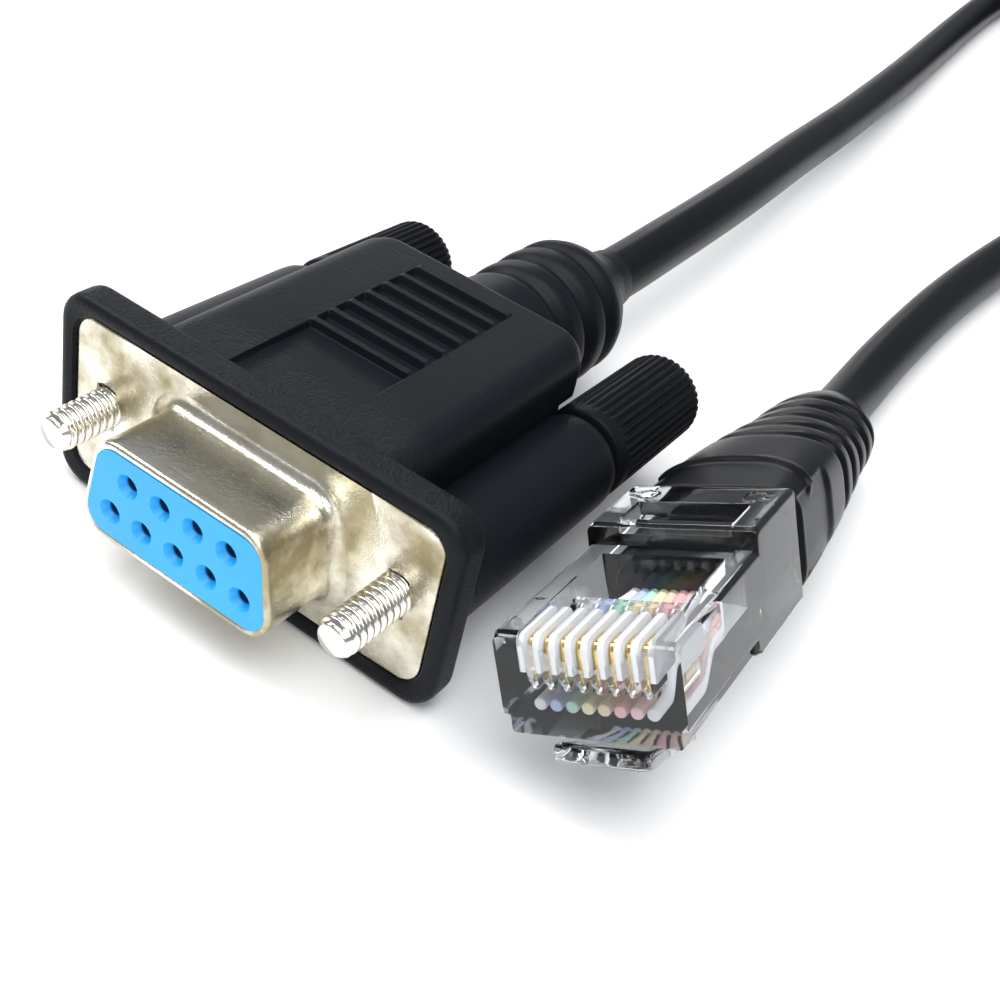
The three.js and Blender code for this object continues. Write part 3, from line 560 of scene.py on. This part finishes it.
def plug_top(x, y):
    """Height of the clear plug's upper side at a place. The nose top is cut by eight contact slots, with round-topped
    fingers between them, then falls to the slanted pocket, the cross bar and the deep pit. Behind stands the raised
    block, with its window recess and two round marks."""
    phase = (x + 4 * wire_pitch) % wire_pitch - wire_pitch / 2
    in_comb = ease(4.16 - np.abs(x), 0, 0.06)
    finger = 6.3 - 1.6 * np.clip(np.abs(np.abs(phase) - wire_pitch / 2) - 0.09, 0, 1) ** 1.3
    tip = 4.75 - 2.2 * np.abs(np.abs(phase) - wire_pitch / 2) ** 1.2
    finger = finger - 1.9 * ease(y, tip - 0.35, tip + 0.05)
    slot = ease(0.32 - np.abs(phase), 0, 0.05) * (1 - ease(y, 4.0, 4.1))
    comb = finger * (1 - slot) + slot * 2.75
    shoulder = 4.2 + (comb - 4.2) * np.sqrt(np.clip(1 - (1 - np.clip(y / 0.75, 0, 1)) ** 2, 0, 1))
    comb = np.where(y < 0.75, shoulder, comb)
    pocket = 4.35 + 0.95 * ease(y, 4.8, 7.3)
    bar = ease(y, 7.2, 7.35) * (1 - ease(y, 7.75, 7.9))
    deep = ease(y, 7.75, 7.9)
    inner = np.where(y < 4.6, comb, pocket * (1 - deep) + deep * 3.3 + 0.15 * bar)
    wall = ease(y, 12.25, 12.38)
    inner = inner * (1 - wall) + wall * 6.5
    nose = 6.5 - 0.35 * np.sqrt(np.clip((0.35 - y) / 0.35, 0, 1))
    notch = 0.16 * bell(y, 4.9, 0.09) * ease(-x, 4.7, 4.8) * (1 - ease(-x, 5.5, 5.6))
    top = inner * in_comb + (nose - notch) * (1 - in_comb)
    block = 6.5 + 1.15 * ease(y, 13.8, 13.9) + 0.25 * np.sqrt(np.clip((y - 13.85) / 0.5, 0, 1))
    window = ease(3.95 - np.abs(x), 0, 0.1) * ease(y, 15.0, 15.1) * (1 - ease(y, 18.3, 18.4))
    far = np.hypot(np.abs(x) - 3.8, y - 19.75)
    marks = 0.09 * bell(far, 0.72, 0.07)
    end = 0.5 * (1 - np.sqrt(np.clip(1 - np.clip((y - plug_length + 0.5) / 0.5, 0, 1) ** 2, 0, 1)))
    return np.where(y < 13.75, top, block - 0.95 * window - marks - end)


def housing_skin():
    """The clear housing: at each station its upper side's height over a row of places, rounded over to sheer sides,
    an inset sole below the nose and a full foot below the raised block."""
    lane = np.array([-0.51, -0.45, -0.4, -0.345, -0.315, -0.28, -0.1, 0.1, 0.28, 0.315, 0.345, 0.4, 0.45])
    comb_x = (wire_places[:, None] + lane[None, :]).ravel()
    comb_x = comb_x[np.abs(comb_x) < 4.06]
    edge_x = np.array([-5.34, -5.05, -4.7, -4.4, -4.22, -4.16, -4.13, -4.1])
    x = np.concatenate([edge_x, comb_x, -edge_x[::-1]])[None, :]
    rear_arc = plug_length - 0.5 * (1 - np.sin(np.linspace(0, np.pi / 2, 8)))
    y = np.unique(np.concatenate([
        [0, 0.02, 0.06, 0.12, 0.2, 0.3, 0.42, 0.56, 0.75, 1.2, 2.0, 3.0, 3.7, 4.0, 4.05, 4.1],
        np.arange(4.14, 5.1, 0.05), np.arange(5.1, 7.2, 0.3), np.arange(7.2, 7.95, 0.05),
        np.arange(8.2, 12.2, 0.6), np.arange(12.22, 12.42, 0.04), [12.8, 13.4, 13.74, 13.78],
        np.arange(13.8, 14.4, 0.05), [14.7, 14.98], np.arange(15.0, 15.12, 0.03), [15.6, 16.6, 17.6, 18.27],
        np.arange(18.3, 18.42, 0.03), np.arange(18.9, 20.7, 0.09), [20.9, 21.4], rear_arc,
    ]))[:, None]
    top = plug_top(x, y)
    arc = np.linspace(0, np.pi / 2, 8)[None, 1:]
    round_edge = 0.42
    edge_height = plug_top(np.array([[5.34]]), y)
    half = plug_half - 0.35 * (1 - np.sqrt(np.clip(1 - np.clip((y - plug_length + 0.35) / 0.35, 0, 1) ** 2, 0, 1)))
    right_x = half - round_edge + round_edge * np.sin(arc)
    right_z = edge_height - round_edge + round_edge * np.cos(arc)
    foot = 5.39 + 0.45 * ease(y, 12.2, 12.5)
    step = 1.1 * (1 - ease(y, 12.2, 12.5)) + 0.1
    low_x = np.concatenate([half, half, np.minimum(foot, half), np.minimum(foot, half), foot - 0.15], 1)
    low_z = np.concatenate([step + 0.1, step, step - 0.06, 0.12 + 0 * y, 0 * y], 1)
    ones = np.ones_like(y)
    xs = np.concatenate([x * ones, right_x, low_x, -low_x[:, ::-1], -right_x[:, ::-1]], 1)
    zs = np.concatenate([top, right_z, low_z, low_z[:, ::-1], right_z[:, ::-1]], 1)
    return loft(np.stack([xs, y * np.ones_like(xs), zs], -1))


housing = piece("clear_plug_housing", [placed(housing_skin(), in_plug)], "cable", 25)
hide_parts("plug_housing")


def blade_skin(x):
    """A contact blade standing on edge in its slot, with a round front shoulder and bevelled edges."""
    corners = [(0.5, 2.85), (3.75, 2.85), (3.75, 5.25), (2.2, 5.95), (0.5, 5.95)]
    outline = round_corners(corners, [0.1, 0.1, 0.2, 0.3, 0.55], 6)
    rows = [(0.05, -0.2), (0.0, -0.15), (0.0, 0.15), (0.05, 0.2)]
    return loft(along(0, [outline(inset) for inset, _ in rows], [x + off for _, off in rows]))


blades = piece("gold_contact_blades", [placed(blade_skin(x), in_plug) for x in wire_places], "cable")
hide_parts(*[f"plug_blade_{i}" for i in range(1, 9)])


def comb_skin(x):
    """A moulded finger between two contact slots: a bar with a round front shoulder and a round rear tip."""
    outline = round_corners([(-0.01, 4.0), (4.82, 4.0), (4.82, 6.33), (-0.01, 6.33)], [0.05, 0.2, 0.6, 0.75], 8)
    rows = [(0.12, -0.23), (0.03, -0.2), (0.0, -0.12), (0.0, 0.12), (0.03, 0.2), (0.12, 0.23)]
    return loft(along(0, [outline(inset) for inset, _ in rows], [x + off for _, off in rows]))


comb_places = (np.arange(9) - 4) * wire_pitch
comb = piece("frosted_comb", [placed(comb_skin(x), in_plug) for x in comb_places], "cable")


def wire_skin(x):
    """One wire: straight through the nose, up under the slanted pocket, then drawn together to the jacket's end."""
    y = np.concatenate([[0.8, 0.86, 1.0], np.linspace(1.5, 12.9, 40)])
    spread = 1 - 0.35 * ease(y, 8.0, 12.5)
    path = np.stack([x * spread, y, 1.75 + 1.7 * ease(y, 4.2, 6.6) + 0.2 * ease(y, 8, 12)], -1)
    radius = 0.41 + 0.0 * y
    radius[0], radius[1] = 0.25, 0.37
    return tube(path, radius)


wire_colours = (
    ("white", (0.93, 0.91, 0.98)), ("blue", (0.58, 0.65, 0.96)), ("green", (0.56, 0.88, 0.74)),
    ("yellow", (0.97, 0.92, 0.62)), ("orange", (0.98, 0.80, 0.60)), ("red", (0.96, 0.58, 0.60)),
    ("brown", (0.93, 0.66, 0.66)), ("grey", (0.92, 0.92, 0.95)),
)
wires = []
for i, (word, colour) in enumerate(wire_colours):
    wire = piece(f"{word}_wire", [placed(wire_skin(wire_places[i]), in_plug)], "cable")
    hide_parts(f"plug_wire_{i + 1}")
    wires.append(wire)

latch_root, latch_droop = np.array([0.0, 1.0, -1.45]), math.radians(14)


def latch_skin():
    """The latch: a lever in its own frame, along, across and thick, with a block-like root, locking shoulders and a
    narrow thumb tab, turned down from the plug about its root."""
    s = np.array([-0.75, -0.72, -0.6, -0.35, 0.0, 1.5, 4.0, 6.3, 6.5, 6.7, 6.9, 9.0, 12.0, 13.2, 13.45, 13.58, 13.6])
    half_width = np.array([2.7, 2.9, 3.1, 3.15, 3.15, 3.1, 3.1, 3.1, 3.0, 2.0, 1.72, 1.65, 1.65, 1.62, 1.5, 1.25, 1.1])
    half_thick = np.array([
        0.35, 0.45, 0.56, 0.62, 0.64, 0.6, 0.55, 0.52, 0.52, 0.5, 0.5, 0.48, 0.46, 0.44, 0.38, 0.25, 0.18,
    ])
    angles = np.arange(40) / 40 * 2 * np.pi + 0.01
    power = 0.28
    x = half_width[:, None] * np.sign(np.cos(angles)) * np.abs(np.cos(angles)) ** power
    t = half_thick[:, None] * np.sign(np.sin(angles)) * np.abs(np.sin(angles)) ** power
    y = s[:, None] * math.cos(latch_droop) + t * math.sin(latch_droop)
    z = t * math.cos(latch_droop) - s[:, None] * math.sin(latch_droop)
    return loft(np.stack([x, y, z], -1) + latch_root)


latch = piece("clear_latch", [placed(latch_skin(), in_plug)], "latch", 40)
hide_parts("plug_latch")


def boot_skin():
    """The boot: superellipse sections that grow rounder and smaller to the rear, with a crescent ridge across the top
    near the front, soft rings round the rear half, and flat panels let into both sides."""
    start, end, height = 22.2, 50.0, 3.7
    tip_radius, tip_round, bow = 2.85, 0.8, 0.075
    tip_arc = end - tip_round * (1 - np.sin(np.linspace(0, np.pi / 2, 8)))
    front_edge = [start, start + 0.08, start + 0.25]
    y = np.concatenate([front_edge, np.arange(start + 0.5, end - tip_round, 0.14), tip_arc])[:, None]
    t = (y - start) / (end - start)
    narrow = 0.42 * t**1.9 + 0.58 * np.clip((t - 0.8) / 0.2, 0, 1) ** 2.2
    half_x = 6.0 + (tip_radius - 6.0) * narrow
    half_z = 4.1 + (tip_radius - 4.1) * narrow
    power = 2 / (5 - 3 * np.minimum(1, t * 1.5))
    angles = (np.arange(120) / 120 * 2 * np.pi + 0.013)[None, :]
    c, s = np.cos(angles), np.sin(angles)
    x = np.sign(c) * np.abs(c) ** power * half_x
    z = np.sign(s) * np.abs(s) ** power * half_z
    rings = sum(bell(y, 34.4 + 2.7 * k, 0.45) for k in range(5)) * (0.16 + 0.34 * np.abs(c))
    on_top = np.clip((s - 0.25) * 4, 0, 1)
    on_side = np.clip((np.abs(c) - 0.8) * 6, 0, 1) * (np.abs(z) < 3.0)
    crescent = 0.22 * bell(y, 28.3 - bow * x**2, 0.34) * on_top
    low = 0.14 * (1 - ease(y, 27.6 - bow * x**2, 28.4 - bow * x**2)) * on_top
    panel = 0.3 * ease(y, 22.8, 23.4) * (1 - ease(y, 29.0, 30.0)) * on_side
    front_round = 0.22 * (y < start + 0.04) + 0.08 * (y < start + 0.2) * (y > start + 0.04)
    inset = rings - crescent + low + panel + front_round
    size = np.hypot(x, z)
    shrink = 1 - inset / size
    return loft(np.stack([x * shrink, y * np.ones_like(x), z * shrink + height], -1))


boot = piece("moulded_boot", [placed(boot_skin(), in_plug)], "cable", 50)
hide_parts("plug_boot")


def jacket_skin():
    """End of the cable's jacket in the plug, flattened where it is clamped."""
    outline = rectangle(7.4, 4.2, 1.6, (0.0, 3.7))
    rows = [(0.5, 12.9), (0.15, 13.0), (0.0, 13.3), (0.0, 22.0)]
    return loft(along(1, [outline(inset) for inset, _ in rows], [y for _, y in rows]))


jacket_end = piece("clamped_jacket_end", [placed(jacket_skin(), in_plug)], "cable")
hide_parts("cable_jacket_end")


# ---------------------------------------------------------------- tie round the coil
def tie_skin():
    """The flat tie: a band carried round the bundle's six-sided section, its corners rounded, its edges bevelled."""
    corners = np.array([(4.0, 0.3), (8.0, 7.65), (4.0, 15.0), (-4.0, 15.0), (-8.0, 7.65), (-4.0, 0.3)]) - (0, 0.3)
    outline = round_corners(corners, 2.2, 8)
    rows = [(0.0, -1.9), (0.05, -2.0), (0.5, -2.0), (0.55, -1.9), (0.55, 1.9), (0.5, 2.0), (0.05, 2.0), (0.0, 1.9)]
    rings = along(0, [outline(inset) for inset, _ in rows], [x for _, x in rows])
    return hoop(rings * MM + np.array([coil_centre[0], coil_centre[1] + coil_radius, 0.0]))


tie = piece("coil_tie_band", [tie_skin()], "cable")
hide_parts("coil_tie")


# ---------------------------------------------------------------- materials
def shader_group(name, inputs, outputs):
    """A node group with named sockets, and its input and output nodes."""
    tree = bpy.data.node_groups.new(name, "ShaderNodeTree")
    for label, kind, value in inputs:
        socket = tree.interface.new_socket(label, in_out="INPUT", socket_type=kind)
        if value is not None:
            socket.default_value = value
    for label, kind in outputs:
        tree.interface.new_socket(label, in_out="OUTPUT", socket_type=kind)
    return tree, tree.nodes.new("NodeGroupInput"), tree.nodes.new("NodeGroupOutput")


def add(tree, kind, values=None, **settings):
    """A node with its settings and socket values. A value that is a socket is linked."""
    node = tree.nodes.new(kind)
    for key, value in settings.items():
        setattr(node, key, value)
    for key, value in (values or {}).items():
        if isinstance(value, bpy.types.NodeSocket):
            tree.links.new(value, node.inputs[key])
        else:
            node.inputs[key].default_value = value
    return node


FLOAT, COLOUR, VECTOR = "NodeSocketFloat", "NodeSocketColor", "NodeSocketVector"


def moulded_grain_group():
    """Fine moulded grain: two layers of noise, the finer one added by its share, as a height about nought."""
    tree, given, result = shader_group(
        "moulded_grain",
        [("Place", VECTOR, None), ("Scale", FLOAT, 1500.0), ("Finer Share", FLOAT, 0.4), ("Amount", FLOAT, 1.0)],
        [("Height", FLOAT), ("Mask", FLOAT)],
    )
    place, scale = given.outputs["Place"], given.outputs["Scale"]
    coarse = add(tree, "ShaderNodeTexNoise", {"Vector": place, "Scale": scale, "Detail": 2.0})
    finer_scale = add(tree, "ShaderNodeMath", {0: scale, 1: 2.7}, operation="MULTIPLY")
    finer = add(tree, "ShaderNodeTexNoise", {"Vector": place, "Scale": finer_scale.outputs[0], "Detail": 1.0})
    share = given.outputs["Finer Share"]
    both = add(tree, "ShaderNodeMix", {"Factor": share, "A": coarse.outputs["Fac"], "B": finer.outputs["Fac"]})
    centred = add(tree, "ShaderNodeMath", {0: both.outputs["Result"], 1: 0.5}, operation="SUBTRACT")
    height = add(tree, "ShaderNodeMath", {0: centred.outputs[0], 1: given.outputs["Amount"]}, operation="MULTIPLY")
    mask = add(tree, "ShaderNodeMapRange", {"Value": both.outputs["Result"], "From Min": 0.56, "From Max": 0.68})
    tree.links.new(height.outputs[0], result.inputs["Height"])
    tree.links.new(mask.outputs[0], result.inputs["Mask"])
    return tree


def tone_group():
    """Slow change of tone: large soft noise that mixes two colours and two roughness values."""
    tree, given, result = shader_group(
        "slow_tone",
        [("Place", VECTOR, None), ("Scale", FLOAT, 90.0),
         ("Color A", COLOUR, (0.5, 0.5, 0.5, 1)), ("Color B", COLOUR, (0.4, 0.4, 0.4, 1)),
         ("Roughness A", FLOAT, 0.3), ("Roughness B", FLOAT, 0.4), ("Contrast", FLOAT, 1.0)],
        [("Color", COLOUR), ("Roughness", FLOAT), ("Mask", FLOAT)],
    )
    pattern = {"Vector": given.outputs["Place"], "Scale": given.outputs["Scale"], "Detail": 5.0, "Roughness": 0.6}
    noise = add(tree, "ShaderNodeTexNoise", pattern)
    centred = add(tree, "ShaderNodeMath", {0: noise.outputs["Fac"], 1: 0.5}, operation="SUBTRACT")
    stretch = {0: centred.outputs[0], 1: given.outputs["Contrast"], 2: 0.5}
    spread = add(tree, "ShaderNodeMath", stretch, operation="MULTIPLY_ADD", use_clamp=True)
    tone = add(tree, "ShaderNodeMix", {"Factor": spread.outputs[0]}, data_type="RGBA")
    tree.links.new(given.outputs["Color A"], tone.inputs[6])
    tree.links.new(given.outputs["Color B"], tone.inputs[7])
    ends = {"A": given.outputs["Roughness A"], "B": given.outputs["Roughness B"]}
    rough = add(tree, "ShaderNodeMix", {"Factor": spread.outputs[0], **ends})
    tree.links.new(tone.outputs[2], result.inputs["Color"])
    tree.links.new(rough.outputs["Result"], result.inputs["Roughness"])
    tree.links.new(spread.outputs[0], result.inputs["Mask"])
    return tree


def hairline_group():
    """Hairlines and rubs from handling: noise stretched along one way, kept only where it is highest."""
    tree, given, result = shader_group(
        "handling_hairlines",
        [("Place", VECTOR, None), ("Scale", FLOAT, 200.0), ("Amount", FLOAT, 1.0)],
        [("Height", FLOAT), ("Mask", FLOAT)],
    )
    drawn_out = {"Vector": given.outputs["Place"], "Rotation": (0.3, 0.2, 0.7), "Scale": (1.0, 14.0, 6.0)}
    long = add(tree, "ShaderNodeMapping", drawn_out)
    noise = add(tree, "ShaderNodeTexNoise", {"Vector": long.outputs[0], "Scale": given.outputs["Scale"], "Detail": 2.0})
    sparse = add(tree, "ShaderNodeMapRange", {"Value": noise.outputs["Fac"], "From Min": 0.66, "From Max": 0.74})
    mask = add(tree, "ShaderNodeMath", {0: sparse.outputs[0], 1: given.outputs["Amount"]}, operation="MULTIPLY")
    height = add(tree, "ShaderNodeMath", {0: mask.outputs[0], 1: -1.0}, operation="MULTIPLY")
    tree.links.new(height.outputs[0], result.inputs["Height"])
    tree.links.new(mask.outputs[0], result.inputs["Mask"])
    return tree


grain_group, slow_tone_group, hairlines_group = moulded_grain_group(), tone_group(), hairline_group()


def finish(name, colours, roughness, metallic=0.0, tone_scale=90.0, contrast=2.0, grain=(1500.0, 0.4, 1.0),
           grain_depth=0.02, hairlines=0.0, fade=None, **values):
    """A finished material: slow tone for colour and roughness, grain and hairlines for the bump, in millimetres deep.
    fade gives four places along Y, in metres. The grain falls to 0.12 of itself from the first to the second, and
    rises from 0.3 to full from the third to the fourth."""
    material = bpy.data.materials.new(name)
    material.use_nodes = True
    tree = material.node_tree
    shader = tree.nodes["Principled BSDF"]
    place = add(tree, "ShaderNodeTexCoord").outputs["Object"]
    tone = add(tree, "ShaderNodeGroup", node_tree=slow_tone_group)
    hair = add(tree, "ShaderNodeGroup", node_tree=hairlines_group)
    fine = add(tree, "ShaderNodeGroup", node_tree=grain_group)
    for node in (tone, hair, fine):
        tree.links.new(place, node.inputs["Place"])
    for key, value in (("Scale", tone_scale), ("Color A", (*colours[0], 1)), ("Color B", (*colours[1], 1)),
                       ("Roughness A", roughness[0]), ("Roughness B", roughness[1]), ("Contrast", contrast)):
        tone.inputs[key].default_value = value
    for key, value in zip(("Scale", "Finer Share", "Amount"), grain):
        fine.inputs[key].default_value = value
    hair.inputs["Amount"].default_value = hairlines
    if fade:
        along_y = add(tree, "ShaderNodeSeparateXYZ", {0: place})
        y = along_y.outputs["Y"]
        falling = {"Value": y, "From Min": fade[0], "From Max": fade[1], "To Min": grain[2], "To Max": grain[2] * 0.12}
        rising = {"Value": y, "From Min": fade[2], "From Max": fade[3], "To Min": 0.3}
        share = add(tree, "ShaderNodeMapRange", falling, interpolation_type="SMOOTHSTEP")
        front = add(tree, "ShaderNodeMapRange", rising)
        amount = add(tree, "ShaderNodeMath", {0: share.outputs[0], 1: front.outputs[0]}, operation="MULTIPLY")
        tree.links.new(amount.outputs[0], fine.inputs["Amount"])
    height = add(tree, "ShaderNodeMath", {0: fine.outputs["Height"], 1: hair.outputs["Height"]}, operation="ADD")
    bump = add(tree, "ShaderNodeBump", {"Height": height.outputs[0], "Strength": 1.0, "Distance": grain_depth * MM})
    tree.links.new(bump.outputs["Normal"], shader.inputs["Normal"])
    tree.links.new(tone.outputs["Color"], shader.inputs["Base Color"])
    rubbing = {0: hair.outputs["Mask"], 1: 0.12, 2: tone.outputs["Roughness"]}
    rubbed = add(tree, "ShaderNodeMath", rubbing, operation="MULTIPLY_ADD")
    tree.links.new(rubbed.outputs[0], shader.inputs["Roughness"])
    shader.inputs["Metallic"].default_value = metallic
    for key, value in values.items():
        shader.inputs[key.replace("_", " ")].default_value = value
    return material


def paint(thing, material):
    thing.data.materials.clear()
    thing.data.materials.append(material)


front_of_plate = float(connector[1])
hood_plastic = finish(
    "grained_black_moulding", ((0.0046, 0.0056, 0.0082), (0.0062, 0.0074, 0.0104)), (0.36, 0.46), tone_scale=70.0,
    grain=(4200.0, 0.35, 1.0), grain_depth=0.2, hairlines=0.06,
    fade=(front_of_plate + 0.0022, front_of_plate + 0.0075, front_of_plate + 0.0001, front_of_plate + 0.0006),
    Specular_IOR_Level=0.13,
)
head_plastic = finish(
    "knurled_black_moulding", ((0.0036, 0.0043, 0.0056), (0.005, 0.0058, 0.0074)), (0.42, 0.52),
    grain_depth=0.012, hairlines=0.06, Specular_IOR_Level=0.12,
)
boot_plastic = finish(
    "satin_black_moulding", ((0.0036, 0.004, 0.005), (0.005, 0.0055, 0.0068)), (0.24, 0.34), grain=(900.0, 0.3, 1.0),
    grain_depth=0.012, hairlines=0.12, Specular_IOR_Level=0.13,
)
cable_plastic = finish(
    "cable_jacket", ((0.0042, 0.0048, 0.0062), (0.0056, 0.0064, 0.008)), (0.3, 0.4), tone_scale=60.0,
    grain=(1100.0, 0.3, 1.0), grain_depth=0.01, hairlines=0.08, Specular_IOR_Level=0.14,
)
nickel = finish(
    "nickel_plate", ((0.94, 0.91, 0.80), (0.40, 0.34, 0.21)), (0.18, 0.36), 1.0, tone_scale=210.0, contrast=3.8,
    grain=(3200.0, 0.5, 1.0), grain_depth=0.03, hairlines=0.2,
)
steel = finish(
    "screw_steel", ((0.86, 0.84, 0.79), (0.66, 0.63, 0.56)), (0.12, 0.24), 1.0,
    tone_scale=400.0, grain_depth=0.006, hairlines=0.3,
)
blue = finish(
    "blue_insulator", ((0.010, 0.36, 0.82), (0.022, 0.43, 0.90)), (0.3, 0.4),
    tone_scale=120.0, grain_depth=0.006, hairlines=0.2,
)
gold = finish(
    "gold_plate", ((0.86, 0.62, 0.22), (0.66, 0.45, 0.15)), (0.16, 0.3), 1.0,
    tone_scale=700.0, grain_depth=0.006, hairlines=0.3,
)
tie_plastic = finish(
    "tie_plastic", ((0.008, 0.008, 0.010), (0.013, 0.013, 0.015)), (0.4, 0.5),
    hairlines=0.3, grain_depth=0.01,
)
# painted shade: a dark blue colour standing for the shadow inside the socket mouths
painted_mouth_shade = finish("socket_mouth_shade", ((0.001, 0.022, 0.075), (0.002, 0.03, 0.09)), (0.5, 0.6), grain_depth=0.003)
frosted = finish(
    "frosted_clear_plastic", ((0.97, 0.98, 1.0), (0.90, 0.92, 0.95)), (0.12, 0.22), tone_scale=500.0, contrast=3.0,
    grain_depth=0.01, Transmission_Weight=0.35, IOR=1.4,
)
clear = finish(
    "clear_plastic", ((0.96, 0.98, 0.99), (0.90, 0.93, 0.95)), (0.02, 0.06), tone_scale=150.0, grain=(500.0, 0.2, 1.0),
    grain_depth=0.005, hairlines=0.25, Transmission_Weight=1.0, IOR=1.49,
)

for thing, material in (
    (hood, hood_plastic), (cable, cable_plastic), (shell, nickel), (insulator, blue), (housing, clear), (latch, clear),
    (blades, gold), (comb, frosted), (painted_shade_cups, painted_mouth_shade), (boot, boot_plastic), (jacket_end, cable_plastic),
    (tie, tie_plastic),
):
    paint(thing, material)
for word in ("left", "right"):
    paint(bpy.data.objects[f"{word}_threaded_screw"], steel)
    paint(bpy.data.objects[f"{word}_knurled_head"], head_plastic)
for i in range(1, 10):
    paint(nodes[f"socket_contact_{i}"], gold)
for wire, (word, colour) in zip(wires, wire_colours):
    deeper = tuple(0.75 * channel for channel in colour)
    paint(wire, finish(f"{word}_wire_skin", (colour, deeper), (0.3, 0.4), tone_scale=300.0, grain_depth=0.004))

# ---------------------------------------------------------------- floor and light
floor_mesh = bpy.data.meshes.new("floor")
reach = 1.6
floor_corners = [(-reach, -reach, 0), (reach, -reach, 0), (reach, reach, 0), (-reach, reach, 0)]
floor_mesh.from_pydata(floor_corners, [], [(0, 1, 2, 3)])
floor = bpy.data.objects.new("floor", floor_mesh)
scene.collection.objects.link(floor)
floor_colours = ((0.88, 0.885, 0.89), (0.86, 0.865, 0.87))
paint(floor, finish("floor_paper", floor_colours, (0.6, 0.7), tone_scale=8.0, grain_depth=0.002))
floor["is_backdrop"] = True

world = bpy.data.worlds.new("studio")
world.use_nodes = True
world.node_tree.nodes["Background"].inputs["Color"].default_value = (0.93, 0.96, 1.0, 1)
world.node_tree.nodes["Background"].inputs["Strength"].default_value = 0.3
scene.world = world


def area_light(name, place, target, size, power, colour=(1, 1, 1)):
    data = bpy.data.lights.new(name, "AREA")
    data.shape = "RECTANGLE"
    data.size, data.size_y = size
    data.energy = power
    data.color = colour
    lamp = bpy.data.objects.new(name, data)
    back = np.asarray(place, float) - np.asarray(target, float)
    back = back / np.linalg.norm(back)
    side = np.cross((0, 0, 1), back)
    side = side / np.linalg.norm(side)
    matrix = np.eye(4)
    matrix[:3, 0], matrix[:3, 1], matrix[:3, 2] = side, np.cross(back, side), back
    matrix[:3, 3] = place
    lamp.matrix_world = Matrix(matrix.tolist())
    scene.collection.objects.link(lamp)


area_light("overhead", (0.10, -0.10, 1.0), (0.02, 0.04, 0), (1.1, 1.1), 15.0, (0.99, 0.995, 1.0))
area_light("window", (-0.55, -0.05, 0.50), (0.01, 0.02, 0), (0.3, 0.4), 2.6)
area_light("front_fill", (0.30, -0.50, 0.30), (0.02, 0, 0), (0.35, 0.25), 1.0)
area_light("rear_edge", (-0.5, 0.55, 0.2), (0.0, 0.02, 0), (0.5, 0.06), 0.6)
scene.view_settings.view_transform = "Standard"


def shown_box():
    """Lowest and highest corner of the shown pieces, from the points of their finished meshes."""
    graph = bpy.context.evaluated_depsgraph_get()
    corners = []
    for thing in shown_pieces():
        finished = thing.evaluated_get(graph)
        mesh = finished.to_mesh()
        points = np.zeros(3 * len(mesh.vertices))
        mesh.vertices.foreach_get("co", points)
        points = points.reshape(-1, 3) @ np.array(thing.matrix_world)[:3, :3].T + np.array(thing.matrix_world)[:3, 3]
        corners += [points.min(0), points.max(0)]
        finished.to_mesh_clear()
    return np.min(corners, 0), np.max(corners, 0)


visual_box = shown_box()
